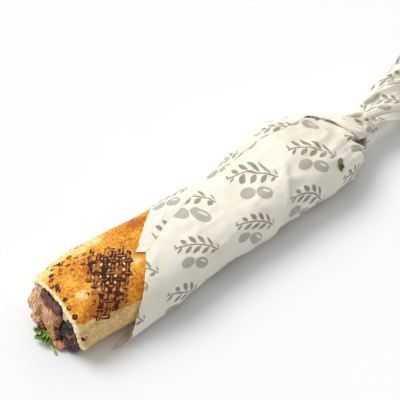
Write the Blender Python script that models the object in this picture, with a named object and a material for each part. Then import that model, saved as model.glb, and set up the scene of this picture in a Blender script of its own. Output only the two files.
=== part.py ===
"""A shawarma sandwich: a toasted flatbread roll, open at one end, in a paper wrap with a twisted tail.

Metres, +Z up. The roll lies along X with its open mouth towards -X and the tail of the wrap towards
+X. Every shape is worked out in the roll's own frame, whose zero is the middle of the mouth on the
table, and is moved at the end so that the origin is under the middle of the whole sandwich.
"""

import math

import bmesh
import bpy
import numpy as np
from mathutils import Matrix, Vector, noise

MM = 0.001

# Noise that gives a direction starts from the clock unless it has a seed. This one gives the loose
# fillings their bumps.
NOISE_SEED = 1795520106
noise.seed_set(NOISE_SEED)

# The roll from its mouth to its twisted neck: distance from the mouth, half width, sideways offset
# of the middle. It is pressed flat, so its half height is a share of its half width.
STATIONS = np.array(
    [
        (0, 30.9, 0.0),
        (20, 33.2, 0.6),
        (45, 34.0, -2.2),
        (70, 33.8, -4.4),
        (95, 32.0, -3.6),
        (120, 31.7, -3.0),
        (150, 31.7, -3.2),
        (175, 33.8, 0.4),
        (200, 36.0, 2.6),
        (220, 34.2, 0.8),
        (240, 28.4, -0.4),
        (252, 22.2, -1.2),
        (264, 14.4, -0.6),
        (276, 10.2, 0.9),
    ]
) * MM
HEIGHT_SHARE = 0.70
MOUTH_HEIGHT_SHARE = 0.645
MOUTH_FLATTENED_OVER = 60 * MM
SQUARENESS = 2.5
NECK_X = 276 * MM
NECK_Z = 24 * MM
NECK_HEIGHT_SHARE = 0.92
END_STARTS = 236 * MM

# The roll has sunk a little into its own soft underside. The creased paper under it touches the table
# at three spots, each given by two corners in mm in the roll's frame.
SINK = 0.5 * MM
FEET = [((52, -20), (66, -10)), ((90, 2), (104, 12)), ((212, -6), (238, 9))]
FOOT_DEPTH = 0.4 * MM

# Wall thicknesses, and the clearance kept between pieces that touch.
PAPER = 0.8 * MM
BREAD = 2.8 * MM
GAP = 0.35 * MM

# The mouth leans: its upper lip reaches out over its lower one.
MOUTH_LEAN = 3.0 * MM
MOUTH_LEAN_OVER = 40 * MM
LIP_WAVE = 0.7 * MM
LIP_SET_BACK = 0.8 * MM
LIP_ROUNDING = 0.5 * MM
LIP_EVEN_FROM = 25 * MM
BLISTER_HEIGHT = 0.32 * MM
BLISTER_SIZES = (9 * MM, 4 * MM)

# Distances from the mouth at which the rings of the bread, its cavity and the fillings lie.
LIP_X = 0.6 * MM
BREAD_SHOWN_X = np.arange(6, 103, 8) * MM
BREAD_HIDDEN_X = np.array([114, 131, 150, 168, 185, 202, 218, 234, 244, 253]) * MM
BREAD_COVERED_X = 24 * MM
CAVITY_X = np.array([0.6, 10, 45, 90, 145, 168, 200, 226, 242]) * MM
FILLING_X = CAVITY_X[1:-1]
FILLING_STARTS = 4 * MM
END_BULGE = 2 * MM

# Front edge of the wrap: angle round the roll (0 is its far side, 90 its top) and distance from
# the mouth. Its first and last points are the two sides of the notch where the sheet's corner lies.
FRONT_EDGE = np.array(
    [
        (98, 63.5),
        (125, 52.0),
        (145, 46.0),
        (165, 40.0),
        (190, 33.5),
        (208, 26.5),
        (215, 24.0),
        (226, 34.0),
        (250, 44.0),
        (285, 66.0),
        (330, 96.0),
        (390, 94.0),
        (440, 71.0),
        (454, 57.0),
    ]
)
FRONT_DONE_X = 108 * MM
FRONT_STEPS = 6
NECK_RINGS_X = np.array([260, 266, 271]) * MM
SLEEVE_END_X = 259 * MM
SLEEVE_TIP = 3 * MM
FLAP_ANGLE = math.radians(213)
FLAP_SPREAD = math.radians(24)
FLAP_LIFT = 9.5 * MM

# Pleats gather the wrap into its neck, and open again in the tail.
PLEATS = 7
PLEAT_START_X = 222 * MM
PLEAT_DEPTH = 1.5 * MM
PLEAT_ROOM = 1.3
PLEAT_RISING = 0.68
TWIST = math.radians(55)
TAIL_LENGTH = 74 * MM
TAIL_STEPS = 10
TAIL_YAW = math.radians(11)
TAIL_TURNED_AT = 0.45
TAIL_END_Z = 25 * MM
TAIL_END_HALF = (23 * MM, 12 * MM)
TAIL_ROLL = math.radians(78)
TAIL_ROLLED_AT = 0.7
TAIL_OPEN_AT = 0.6
TAIL_OPENING = (0.85, 0.7)
TAIL_PLEAT = 0.20
TAIL_WALL = 0.8 * MM
TAIL_HOLLOW_FROM = 0.4
SHARPEST_FOLD = 0.5

RING = 42

# The cuts between the fillings, in the cavity at the mouth. Each leaning cut is two points, sideways
# and up from the middle of the cavity, as shares of its half width and half height.
CUT_FAR = ((0.56, 1.0), (0.27, -1.0))
CUT_NEAR = ((-0.36, 1.0), (-0.10, -1.0))
FAR_FLOOR = -0.58
NEAR_FLOOR = -0.56
NEAR_CEILING = 0.55
CUT_HALF_GAP = 0.016
CAVITY_FIT = 0.975
FILLING_RING = 20

# The ends of the fillings, out of the mouth: how they narrow, spread, droop and come loose.
TIP_STEPS = 6
TIP_SHRINK = 0.72
TIP_SHRINKS_FROM = 0.6
LOOSE_FROM = 1.6 * MM
LOOSE_OVER = 4 * MM
LOOSE_BUMP = 0.9 * MM
LOOSE_BUMP_SIZE = 5.5 * MM
SPREAD_PER_METRE = 12
DROOP = 0.26
DROOP_BELOW = 20 * MM
SAG = 0.10

# The height of the table in the roll's frame, and of the lowest points of what lies beside the wrap.
TABLE = -FOOT_DEPTH
BESIDE = TABLE + 0.3 * MM

# The corner of the inner ply that shows in front of the wrap, in mm in the roll's frame.
PLY_CORNERS = [(15.0, -33.0), (21.5, -34.9), (23.0, -33.6), (31.5, -24.0), (39.0, -15.0), (24.0, -20.0)]
PLY_THICKNESS = 0.5 * MM
PLY_RISES_FROM = -26.0
PLY_RISE = 0.10

LEAF_THICKNESS = 0.5 * MM
LEAF_TOOTH = 0.20
LEAF_WAVE = 0.6 * MM
LEAF_WAVE_SIZE = 4 * MM
LEAF_CURL = -0.8 * MM
STALK_RADIUS = 0.75 * MM
STALK_TIP = 0.2

# The sprig in front of the mouth, in mm in the roll's frame: the points of its stalk, and each leaf's
# length, width, root, heading, pitch and roll.
STALK = [(-12.6, 6.5, 4.6), (-12.7, 3.0, 3.2), (-13.0, -1.5, 1.9), (-13.8, -7.0, 1.4), (-14.9, -13.6, 1.3)]
LEAVES = [
    (8.0, 7.5, (-12.6, 5.5, 4.4), 116, 14, 20),
    (6.5, 6.5, (-12.6, 4.0, 3.8), 188, 2, -25),
    (6.5, 6.5, (-12.7, 1.8, 3.1), 224, 0, 30),
    (6.0, 5.5, (-12.6, 3.4, 3.7), 62, 16, -20),
    (6.0, 5.5, (-12.9, -0.6, 2.4), -24, 10, 15),
]

# The scrap of herb on the wrap.
HERB_X = 222 * MM
HERB_ANGLE = math.radians(150)
HERB_SIZE = (8.5 * MM, 3.6 * MM)
HERB_LIFT = 1.3 * MM
HERB_SLANT = 0.25


def smooth_curve(x, xs, ys):
    """A smooth curve through the points xs, ys, read at x."""
    slopes = np.gradient(ys, xs)
    x = np.clip(x, xs[0], xs[-1])
    i = np.clip(np.searchsorted(xs, x) - 1, 0, len(xs) - 2)
    step = xs[i + 1] - xs[i]
    t = (x - xs[i]) / step
    rise = ys[i] * (2 * t**3 - 3 * t**2 + 1) + ys[i + 1] * (3 * t**2 - 2 * t**3)
    return rise + step * (slopes[i] * (t**3 - 2 * t**2 + t) + slopes[i + 1] * (t**3 - t**2))


def ease(x, start, end):
    """0 up to start, 1 from end on, and smooth between."""
    t = np.clip((x - start) / (end - start), 0, 1)
    return t * t * (3 - 2 * t)


def half_sizes(x):
    """Half width and half height of the roll at a distance x from its mouth."""
    width = smooth_curve(x, STATIONS[:, 0], STATIONS[:, 1])
    share = HEIGHT_SHARE + (MOUTH_HEIGHT_SHARE - HEIGHT_SHARE) * np.clip(
        1 - x / MOUTH_FLATTENED_OVER, 0, 1
    )
    share = share + (NECK_HEIGHT_SHARE - share) * ease(x, END_STARTS, NECK_X)
    return width, width * share


def middle(x):
    """Sideways offset and height of the roll's middle at a distance x from its mouth."""
    side = smooth_curve(x, STATIONS[:, 0], STATIONS[:, 2])
    resting = half_sizes(x)[1] - SINK
    return side, resting + (NECK_Z - resting) * ease(x, END_STARTS, NECK_X)


def power(value, exponent):
    return np.sign(value) * np.abs(value) ** exponent


def skin(x, angle, inset=0.0, lowest=0.0):
    """The point of the roll's surface at a distance x and an angle round it, moved in by inset."""
    width, height = half_sizes(x)
    side, up = middle(x)
    across = power(np.cos(angle), 2 / SQUARENESS)
    above = power(np.sin(angle), 2 / SQUARENESS)
    lean = MOUTH_LEAN * above * np.clip(1 - x / MOUTH_LEAN_OVER, 0, 1)
    z = up + (height - inset) * above
    return np.array([x - lean, side + (width - inset) * across, max(z, lowest)])


def ring_angles(count=RING):
    return [2 * math.pi * k / count for k in range(count)]


def new_object(name, mesh, color, roughness):
    """Adds a mesh as an object with its own material."""
    material = bpy.data.materials.new(name)
    material.use_nodes = True
    shader = material.node_tree.nodes["Principled BSDF"]
    shader.inputs["Base Color"].default_value = (*color, 1.0)
    shader.inputs["Roughness"].default_value = roughness
    shader.inputs["Metallic"].default_value = 0.0
    mesh.materials.append(material)
    made = bpy.data.objects.new(name, mesh)
    bpy.context.scene.collection.objects.link(made)
    return made


def finished_mesh(name, bm):
    """Turns a closed bmesh into a mesh that faces outwards and is shaded smooth."""
    bmesh.ops.triangulate(bm, faces=bm.faces[:], quad_method="FIXED")
    bmesh.ops.recalc_face_normals(bm, faces=bm.faces[:])
    mesh = bpy.data.meshes.new(name)
    bm.to_mesh(mesh)
    bm.free()
    mesh.shade_smooth()
    mesh.set_sharp_from_angle(angle=math.radians(50))
    return mesh


def add_ring(bm, points):
    return [bm.verts.new(point) for point in points]


def join_rings(bm, first, second):
    """A band of faces between two rings with the same number of points."""
    count = len(first)
    for k in range(count):
        n = (k + 1) % count
        bm.faces.new((first[k], first[n], second[n], second[k]))


def close_ring(bm, ring, point):
    """A fan of faces from a ring to one point."""
    tip = bm.verts.new(point)
    for k in range(len(ring)):
        bm.faces.new((ring[k], ring[(k + 1) % len(ring)], tip))


def lofted(name, rings, first_cap, last_cap):
    """A closed solid through rings of points, with its two ends fanned to a point each."""
    bm = bmesh.new()
    made = [add_ring(bm, ring) for ring in rings]
    for near, far in zip(made, made[1:]):
        join_rings(bm, near, far)
    close_ring(bm, made[0], first_cap)
    close_ring(bm, made[-1], last_cap)
    return finished_mesh(name, bm)


# ---- The wrap -------------------------------------------------------------------------------------


def front_edge(angle):
    """Distance from the mouth to the wrap's front edge at an angle round the roll."""
    degrees = math.degrees(angle) % 360
    if degrees < FRONT_EDGE[0, 0]:
        degrees += 360
    return float(np.interp(degrees, FRONT_EDGE[:, 0], FRONT_EDGE[:, 1])) * MM


def flap_push(angle, along):
    """How far the wrap's loose front corner has sprung from the roll. along is 0 at the edge."""
    turned = (angle - FLAP_ANGLE) / FLAP_SPREAD
    return FLAP_LIFT * math.exp(-turned * turned) * (1 - along) ** 2


def pleat_wave(angle):
    """A row of leaning folds round the neck, from -1 in a valley to 1 on a crest."""
    place = (angle * PLEATS / (2 * math.pi)) % 1.0
    if place < PLEAT_RISING:
        return 2 * place / PLEAT_RISING - 1
    return 2 * (1 - place) / (1 - PLEAT_RISING) - 1


def wrap_point(x, angle, inset):
    """A point on the gathered wrap, from the body of the roll to its neck."""
    gathered = float(ease(x, PLEAT_START_X, NECK_X))
    turn = TWIST * gathered
    depth = PLEAT_DEPTH * gathered * pleat_wave(angle)
    return skin(x, angle + turn, inset - depth)


def front_point(angle, along, inset):
    """A point of the wrap between its front edge and the place where it lies close all round."""
    edge = front_edge(angle)
    x = edge + (FRONT_DONE_X - edge) * along
    point = skin(x, angle, inset)
    outward = np.array([0.0, math.cos(angle), math.sin(angle)])
    point = point + outward * flap_push(angle, along)
    point[2] = max(point[2], inset)
    return point


def tail_frame(t):
    """Middle and the two cross directions of the tail, t from 0 at the neck to 1 at its end."""
    yaw = TAIL_YAW * ease(t, 0.0, TAIL_TURNED_AT)
    reach = TAIL_LENGTH * t
    side = middle(NECK_X)[0] + reach * math.sin(TAIL_YAW) * ease(t, -TAIL_TURNED_AT, 1.0)
    centre = np.array([NECK_X + reach * math.cos(TAIL_YAW), side, NECK_Z + (TAIL_END_Z - NECK_Z) * t])
    across = np.array([-math.sin(yaw), math.cos(yaw), 0.0])
    up = np.array([0.0, 0.0, 1.0])
    roll = TAIL_ROLL * ease(t, 0.0, TAIL_ROLLED_AT)
    long_way = across * math.cos(roll) + up * math.sin(roll)
    short_way = -across * math.sin(roll) + up * math.cos(roll)
    return centre, long_way, short_way


def tail_ring(t):
    """One ring of the tail: an oval that opens into a pleated fan."""
    centre, long_way, short_way = tail_frame(t)
    neck_width, neck_height = half_sizes(NECK_X)
    half_long = neck_width + (TAIL_END_HALF[0] - neck_width) * t ** TAIL_OPENING[0]
    half_short = neck_height + (TAIL_END_HALF[1] - neck_height) * t ** TAIL_OPENING[1]
    opened = float(ease(t, 0.0, TAIL_OPEN_AT))
    points = []
    for angle in ring_angles():
        depth = TAIL_PLEAT * opened + PLEAT_DEPTH / neck_width * (1 - opened)
        ripple = 1 + depth * pleat_wave(angle)
        turned = angle + TWIST
        across = power(math.cos(turned), 2 / SQUARENESS) * half_long * ripple
        above = power(math.sin(turned), 2 / SQUARENESS) * half_short * ripple
        point = centre + long_way * across + short_way * above
        point[2] = max(point[2], 0.0)
        points.append(point)
    return points


def inner_faces(rings, wall):
    """The rings moved in by the thickness of the wall, square to the folds that they follow."""
    rings = np.array(rings)
    ahead = np.roll(rings, -1, axis=1) - rings
    ahead /= np.linalg.norm(ahead, axis=2, keepdims=True)
    turned = ahead + np.roll(ahead, 1, axis=1)
    straightness = np.linalg.norm(turned, axis=2, keepdims=True) / 2
    outward = np.cross(turned, np.gradient(rings, axis=0))
    outward /= np.linalg.norm(outward, axis=2, keepdims=True)
    return rings - outward * wall / np.maximum(straightness, SHARPEST_FOLD)


def foot_depth(point):
    """How far a point of the wrap's underside reaches down to the table."""
    for near, far in FEET:
        inside = near[0] * MM <= point[0] <= far[0] * MM and near[1] * MM <= point[1] <= far[1] * MM
        if inside and point[2] <= 0:
            return FOOT_DEPTH
    return 0.0


def paper_wrap():
    """The paper: a sleeve with an oblique front edge, gathered into a neck that fans out again."""
    angles = ring_angles()
    body_x = [*BREAD_HIDDEN_X[1:], *NECK_RINGS_X]
    sleeve_x = [*BREAD_HIDDEN_X[1:], SLEEVE_END_X]
    front_steps = np.linspace(0, 1, FRONT_STEPS + 1)
    tail_steps = np.linspace(0, 1, TAIL_STEPS + 1)

    outside = [[front_point(a, t, 0.0) for a in angles] for t in front_steps]
    outside += [[wrap_point(x, a, 0.0) for a in angles] for x in body_x]
    for ring in outside:
        for point in ring:
            point[2] -= foot_depth(point)
    tail = [tail_ring(t) for t in tail_steps]
    outside += tail

    sleeve = [[front_point(a, t, PAPER) for a in angles] for t in front_steps]
    sleeve += [[wrap_point(x, a, PAPER) for a in angles] for x in sleeve_x]
    hollow = [ring for t, ring in zip(tail_steps, tail) if t >= TAIL_HOLLOW_FROM]
    cup = inner_faces(hollow, TAIL_WALL)
    cup_floor = cup[0].mean(axis=0)

    bm = bmesh.new()
    outside = [add_ring(bm, ring) for ring in outside]
    sleeve = [add_ring(bm, ring) for ring in sleeve]
    cup = [add_ring(bm, ring) for ring in cup]
    for rings in (outside, sleeve, cup):
        for near, far in zip(rings, rings[1:]):
            join_rings(bm, near, far)
    join_rings(bm, outside[0], sleeve[0])
    join_rings(bm, outside[-1], cup[-1])
    close_ring(bm, sleeve[-1], (SLEEVE_END_X + SLEEVE_TIP, *middle(SLEEVE_END_X)))
    close_ring(bm, cup[0], cup_floor)
    return new_object("paper_wrap", finished_mesh("paper_wrap", bm), (0.86, 0.83, 0.76), 0.62)


def inner_ply():
    """The corner of the wrap's inner ply, which lies on the table in front of the outer one."""
    hub_x, hub_y = np.mean(PLY_CORNERS, axis=0)
    outline = []
    for corner, following in zip(PLY_CORNERS, PLY_CORNERS[1:] + PLY_CORNERS[:1]):
        outline.append(np.array(corner))
        outline.append((np.array(corner) + np.array(following)) / 2)
    bm = bmesh.new()
    faces = []
    for level in (BESIDE, BESIDE + PLY_THICKNESS):
        rim = []
        for x, y in outline:
            rise = PLY_RISE * max(0.0, PLY_RISES_FROM - y)
            rim.append(bm.verts.new((x * MM, y * MM, level + rise * MM)))
        hub = bm.verts.new((hub_x * MM, hub_y * MM, level))
        faces.append((rim, hub))
    (low_rim, low_hub), (high_rim, high_hub) = faces
    count = len(low_rim)
    for k in range(count):
        n = (k + 1) % count
        bm.faces.new((low_rim[n], low_rim[k], low_hub))
        bm.faces.new((high_rim[k], high_rim[n], high_hub))
        bm.faces.new((low_rim[k], low_rim[n], high_rim[n], high_rim[k]))
    mesh = finished_mesh("paper_inner_ply", bm)
    return new_object("paper_inner_ply", mesh, (0.78, 0.74, 0.66), 0.65)


# ---- The bread ------------------------------------------------------------------------------------


def bread_point(x, angle, inset, blister_height):
    """A point of the flatbread's outer face, with its low blisters where it shows."""
    room = PLEAT_ROOM * PLEAT_DEPTH * ease(x, PLEAT_START_X, NECK_X)
    floor = BESIDE + (PAPER + GAP - BESIDE) * ease(x, BREAD_COVERED_X / 2, BREAD_COVERED_X)
    point = skin(x, angle, PAPER + GAP + inset + room, floor)
    large, small = [noise.noise(Vector(point) / size) for size in BLISTER_SIZES]
    outward = np.array([0.0, math.cos(angle), max(math.sin(angle), -0.2)])
    return point + outward * (min(large + small / 2, 0.4) * blister_height)


def lip_x(x, angle):
    """The mouth's edge is torn a little unevenly."""
    torn = max(0.0, 1 - x / LIP_EVEN_FROM)
    return torn * LIP_WAVE * (math.sin(3 * angle + 0.6) + 0.6 * math.sin(7 * angle))


def cavity_point(x, angle):
    inset = PAPER + GAP + BREAD
    return skin(x, angle, inset, inset)


def bread():
    """The rolled flatbread, open at the mouth and tucked shut inside the wrap."""
    angles = ring_angles()
    rim = [bread_point(0, a, BREAD / 2, 0) - (LIP_SET_BACK, 0, 0) for a in angles]
    outside = [[bread_point(LIP_X, a, LIP_ROUNDING, BLISTER_HEIGHT) for a in angles]]
    outside += [[bread_point(x, a, 0, BLISTER_HEIGHT) for a in angles] for x in BREAD_SHOWN_X]
    outside += [[bread_point(x, a, 0, 0) for a in angles] for x in BREAD_HIDDEN_X]
    inside = [[cavity_point(x, a) for a in angles] for x in CAVITY_X]
    outside_x = [LIP_X, *BREAD_SHOWN_X, *BREAD_HIDDEN_X]
    for rings, xs in ((outside, outside_x), (inside, CAVITY_X), ([rim], [0])):
        for ring, x in zip(rings, xs):
            for point, angle in zip(ring, angles):
                point[0] += lip_x(x, angle)

    bm = bmesh.new()
    rim = add_ring(bm, rim)
    outside = [add_ring(bm, ring) for ring in outside]
    inside = [add_ring(bm, ring) for ring in inside]
    for rings in (outside, inside):
        for near, far in zip(rings, rings[1:]):
            join_rings(bm, near, far)
    join_rings(bm, rim, outside[0])
    join_rings(bm, rim, inside[0])
    for ring, x in ((outside[-1], BREAD_HIDDEN_X[-1]), (inside[-1], CAVITY_X[-1])):
        close_ring(bm, ring, (x + END_BULGE, *middle(x)))
    return new_object("bread", finished_mesh("bread", bm), (0.80, 0.52, 0.20), 0.60)


# ---- The fillings ---------------------------------------------------------------------------------


def clipped(polygon, point, normal):
    """The part of a convex polygon on the side of a line that its normal points to."""
    kept = []
    for k, here in enumerate(polygon):
        there = polygon[(k + 1) % len(polygon)]
        d_here = float(np.dot(here - point, normal))
        d_there = float(np.dot(there - point, normal))
        if d_here >= 0:
            kept.append(here)
        if (d_here > 0) != (d_there > 0) and d_here != d_there:
            kept.append(here + (there - here) * (d_here / (d_here - d_there)))
    return kept


def resampled(polygon, count):
    """A polygon's outline as count evenly spaced points, starting at its rightmost one."""
    start = int(np.argmax([p[0] for p in polygon]))
    loop = np.array(polygon[start:] + polygon[:start] + [polygon[start]])
    lengths = np.concatenate([[0], np.cumsum(np.linalg.norm(np.diff(loop, axis=0), axis=1))])
    at = np.linspace(0, lengths[-1], count, endpoint=False)
    return np.stack([np.interp(at, lengths, loop[:, i]) for i in range(2)], axis=1)


def region(cuts):
    """The share of the cavity left by cuts, each (point, point, side to keep)."""
    polygon = []
    for angle in ring_angles(96):
        across = power(math.cos(angle), 2 / SQUARENESS)
        above = power(math.sin(angle), 2 / SQUARENESS)
        polygon.append(np.array([across, above]) * CAVITY_FIT)
    for first, second, side in cuts:
        along = np.array(second) - np.array(first)
        normal = np.array([-along[1], along[0]]) / np.linalg.norm(along) * side
        polygon = clipped(polygon, np.array(first) + normal * CUT_HALF_GAP, normal)
    return resampled(polygon, FILLING_RING)


def level_cut(height, side):
    """A level cut through the cavity, which keeps what is above (1) or below (-1) it."""
    return (-1.0, height), (1.0, height), side


def in_cavity(x, share):
    """A point given as shares of the cavity's half sizes, at a distance x from the mouth."""
    x_fit = max(x, 0.0)
    width, height = half_sizes(x_fit)
    side, up = middle(x_fit)
    inset = PAPER + GAP + BREAD
    lean = MOUTH_LEAN * share[1] * np.clip(1 - x_fit / MOUTH_LEAN_OVER, 0, 1)
    z = up + (height - inset) * share[1]
    return np.array([x - lean, side + (width - inset) * share[0], max(z, inset + GAP / 2)])


def spilled(point, out):
    """The looser shape of the fillings that are out of the mouth: they droop, spread, are uneven."""
    x, y, z = point
    out = max(0.0, out - LOOSE_FROM)
    droop = DROOP * out * ease(DROOP_BELOW - z, 0.0, 0.8 * DROOP_BELOW)
    fallen = np.array([x, y * (1 + SPREAD_PER_METRE * out), max(z - droop - SAG * out, BESIDE)])
    bumps = np.array(noise.noise_vector(Vector(point) / LOOSE_BUMP_SIZE)) * LOOSE_BUMP
    moved = fallen + bumps * min(1.0, out / LOOSE_OVER)
    moved[2] = max(moved[2], BESIDE)
    return moved


def filling(name, cuts, tips, color, roughness, bulge=1.5):
    """A filling that runs the length of the roll and shows at the mouth.

    tips says where its end is, at its lowest and at its highest point, in mm from the mouth.
    """
    shares = region(cuts)
    centre = shares.mean(axis=0)
    lowest, highest = shares[:, 1].min(), shares[:, 1].max()
    rings = []
    for x in reversed(FILLING_X):
        rings.append([in_cavity(x, share) for share in shares])
    for step in range(1, TIP_STEPS + 1):
        t = step / TIP_STEPS
        narrowing = max(0.0, (t - TIP_SHRINKS_FROM) / (1 - TIP_SHRINKS_FROM)) ** 2
        shrink = 1 - (1 - TIP_SHRINK) * narrowing
        ring = []
        for share in shares:
            level = (share[1] - lowest) / (highest - lowest)
            tip = (tips[0] + (tips[1] - tips[0]) * level) * MM
            x = FILLING_STARTS + (tip - FILLING_STARTS) * t
            ring.append(spilled(in_cavity(x, centre + (share - centre) * shrink), -x))
        rings.append(ring)
    end = np.mean(rings[-1], axis=0) - (bulge * MM, 0, 0)
    start = np.mean(rings[0], axis=0)
    mesh = lofted(name, rings[::-1], end, start)
    return new_object(name, mesh, color, roughness)


def fillings():
    """The six fillings that show, side by side, each as a strand through the roll."""
    far_side = (*CUT_FAR, 1)
    not_far = (*CUT_FAR, -1)
    near_side = (*CUT_NEAR, -1)
    not_near = (*CUT_NEAR, 1)
    far_meat = [far_side, level_cut(FAR_FLOOR, 1)]
    tomato = [far_side, level_cut(FAR_FLOOR, -1)]
    roasted = [near_side, level_cut(NEAR_FLOOR, 1), level_cut(NEAR_CEILING, -1)]
    onion = [near_side, level_cut(NEAR_FLOOR, -1)]
    pickle = [near_side, level_cut(NEAR_CEILING, 1)]
    return [
        filling("meat_far_slice", far_meat, (-12.5, -1.0), (0.50, 0.31, 0.22), 0.5),
        filling("meat_middle_slice", [not_far, not_near], (-9.5, -0.5), (0.46, 0.28, 0.21), 0.5),
        filling("tomato_strip", tomato, (-8.5, -8.0), (0.42, 0.13, 0.06), 0.35),
        filling("roasted_meat", roasted, (-6.0, 0.5), (0.07, 0.035, 0.03), 0.35),
        filling("onion_strip", onion, (-11.5, -7.5), (0.42, 0.16, 0.16), 0.35),
        filling("pickle_strip", pickle, (-0.5, 0.5), (0.66, 0.66, 0.46), 0.4, 0.6),
    ]


# ---- The herbs ------------------------------------------------------------------------------------


def leaf_mesh(name, length, width, lobes, curl, seed):
    """A thin wavy leaf along +X from its stalk, both faces split into triangles alike."""
    outline = []
    points = 8 * lobes
    for k in range(points):
        angle = 2 * math.pi * k / points
        tooth = 1 - LEAF_TOOTH + LEAF_TOOTH * math.cos(angle * lobes)
        x = length * (0.5 + 0.5 * math.cos(angle) * tooth)
        y = width * 0.5 * math.sin(angle) * tooth
        outline.append((x, y))
    bm = bmesh.new()
    sheets = []
    for side in (-0.5, 0.5):
        hub = (length * 0.45, 0.0)
        verts = []
        for x, y in [hub, *outline]:
            wave = noise.noise(Vector((x / LEAF_WAVE_SIZE, y / LEAF_WAVE_SIZE, seed)))
            bend = curl * (x / length) ** 2 + LEAF_WAVE * wave
            verts.append(bm.verts.new((x, y, bend + side * LEAF_THICKNESS)))
        sheets.append(verts)
    low, high = sheets
    for k in range(points):
        a, b = 1 + k, 1 + (k + 1) % points
        bm.faces.new((low[0], low[b], low[a]))
        bm.faces.new((high[0], high[a], high[b]))
        bm.faces.new((low[a], low[b], high[b]))
        bm.faces.new((low[a], high[b], high[a]))
    bmesh.ops.recalc_face_normals(bm, faces=bm.faces[:])
    mesh = bpy.data.meshes.new(name)
    bm.to_mesh(mesh)
    bm.free()
    return mesh


def stalk_mesh(name, points, radius, sides=8):
    """A thin round stalk through points, with pointed ends."""
    rings = []
    for k, point in enumerate(points):
        ahead = points[min(k + 1, len(points) - 1)] - points[max(k - 1, 0)]
        across = ahead.cross(Vector((0, 0, 1))).normalized()
        up = across.cross(ahead).normalized()
        ring = []
        for angle in ring_angles(sides):
            ring.append(point + (across * math.cos(angle) + up * math.sin(angle)) * radius)
        rings.append(ring)
    first = points[0] + (points[0] - points[1]) * STALK_TIP
    last = points[-1] + (points[-1] - points[-2]) * STALK_TIP
    return lofted(name, rings, first, last)


def union_of(name, meshes):
    """One closed body from overlapping ones."""
    parts = bpy.data.collections.new(name + "_parts")
    bpy.context.scene.collection.children.link(parts)
    base = bpy.data.objects.new(name, meshes[0])
    bpy.context.scene.collection.objects.link(base)
    for mesh in meshes[1:]:
        piece = bpy.data.objects.new(mesh.name, mesh)
        parts.objects.link(piece)
    modifier = base.modifiers.new("union", "BOOLEAN")
    modifier.operation = "UNION"
    modifier.operand_type = "COLLECTION"
    modifier.collection = parts
    modifier.solver = "EXACT"
    bpy.context.view_layer.update()
    evaluated = base.evaluated_get(bpy.context.evaluated_depsgraph_get())
    mesh = bpy.data.meshes.new_from_object(evaluated)
    mesh.name = name
    mesh.shade_smooth()
    mesh.set_sharp_from_angle(angle=math.radians(50))
    for piece in list(parts.objects):
        bpy.data.objects.remove(piece)
    bpy.data.collections.remove(parts)
    bpy.data.objects.remove(base)
    return mesh


def placed(mesh, at, heading, pitch, roll):
    """Turns a mesh that lies along +X to a heading, pitch and roll in degrees, and moves it to at."""
    turn = (
        Matrix.Rotation(math.radians(heading), 4, "Z")
        @ Matrix.Rotation(math.radians(-pitch), 4, "Y")
        @ Matrix.Rotation(math.radians(roll), 4, "X")
    )
    mesh.transform(Matrix.Translation(Vector(at) * MM) @ turn)
    return mesh


def parsley_sprig():
    """A sprig that hangs from the mouth onto the table, with its cut stalk lying beside it."""
    meshes = [stalk_mesh("stalk", [Vector(point) * MM for point in STALK], STALK_RADIUS)]
    for k, (length, width, at, heading, pitch, roll) in enumerate(LEAVES):
        leaf = leaf_mesh(f"leaf_{k}", length * MM, width * MM, 3, LEAF_CURL, k * 3.7)
        meshes.append(placed(leaf, at, heading, pitch, roll))
    mesh = union_of("parsley_sprig", meshes)
    return new_object("parsley_sprig", mesh, (0.10, 0.24, 0.03), 0.45)


def herb_on_wrap():
    """A scrap of herb stuck to the paper near its gathered end."""
    at = Vector(skin(HERB_X, HERB_ANGLE))
    beside = Vector(skin(HERB_X, HERB_ANGLE + 0.05)) - at
    normal = beside.cross(Vector((1, 0, 0))).normalized()
    down = (beside.normalized() + Vector((HERB_SLANT, 0, 0))).normalized()
    mesh = leaf_mesh("herb_on_wrap", *HERB_SIZE, 2, 0.0, 2.5)
    turn = Matrix((down, normal.cross(down), normal)).transposed().to_4x4()
    lifted = at + normal * HERB_LIFT - down * HERB_SIZE[0] / 2
    mesh.transform(Matrix.Translation(lifted) @ turn)
    mesh.shade_smooth()
    return new_object("herb_on_wrap", mesh, (0.10, 0.20, 0.03), 0.45)


def centre_on_origin(objects):
    """Hangs all the pieces on an empty that puts the origin under the middle of the sandwich."""
    bpy.context.view_layer.update()
    corners = np.array([tuple(v.co) for made in objects for v in made.data.vertices])
    low, high = corners.min(axis=0), corners.max(axis=0)
    sandwich = bpy.data.objects.new("sandwich", None)
    bpy.context.scene.collection.objects.link(sandwich)
    sandwich.location = (-(low[0] + high[0]) / 2, -(low[1] + high[1]) / 2, -low[2])
    for made in objects:
        made.parent = sandwich


def main():
    for old in list(bpy.data.objects):
        bpy.data.objects.remove(old)
    pieces = [paper_wrap(), inner_ply(), bread(), *fillings(), parsley_sprig(), herb_on_wrap()]
    centre_on_origin(pieces)


main()
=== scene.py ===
"""The shawarma sandwich as it looks: toasted bread, meat, herbs and printed paper on a white table.

The shapes are worked out in the roll's frame, whose zero is the middle of the open mouth, with +X
along the roll to the tail of its wrap, and are moved by SHIFT into the model's frame. A place on the
roll is a distance x from the mouth and an angle round it, 0 on its far side and 90 degrees on top.
"""

import math

import bpy
import numpy as np
from mathutils import Matrix, Vector, noise


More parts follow.
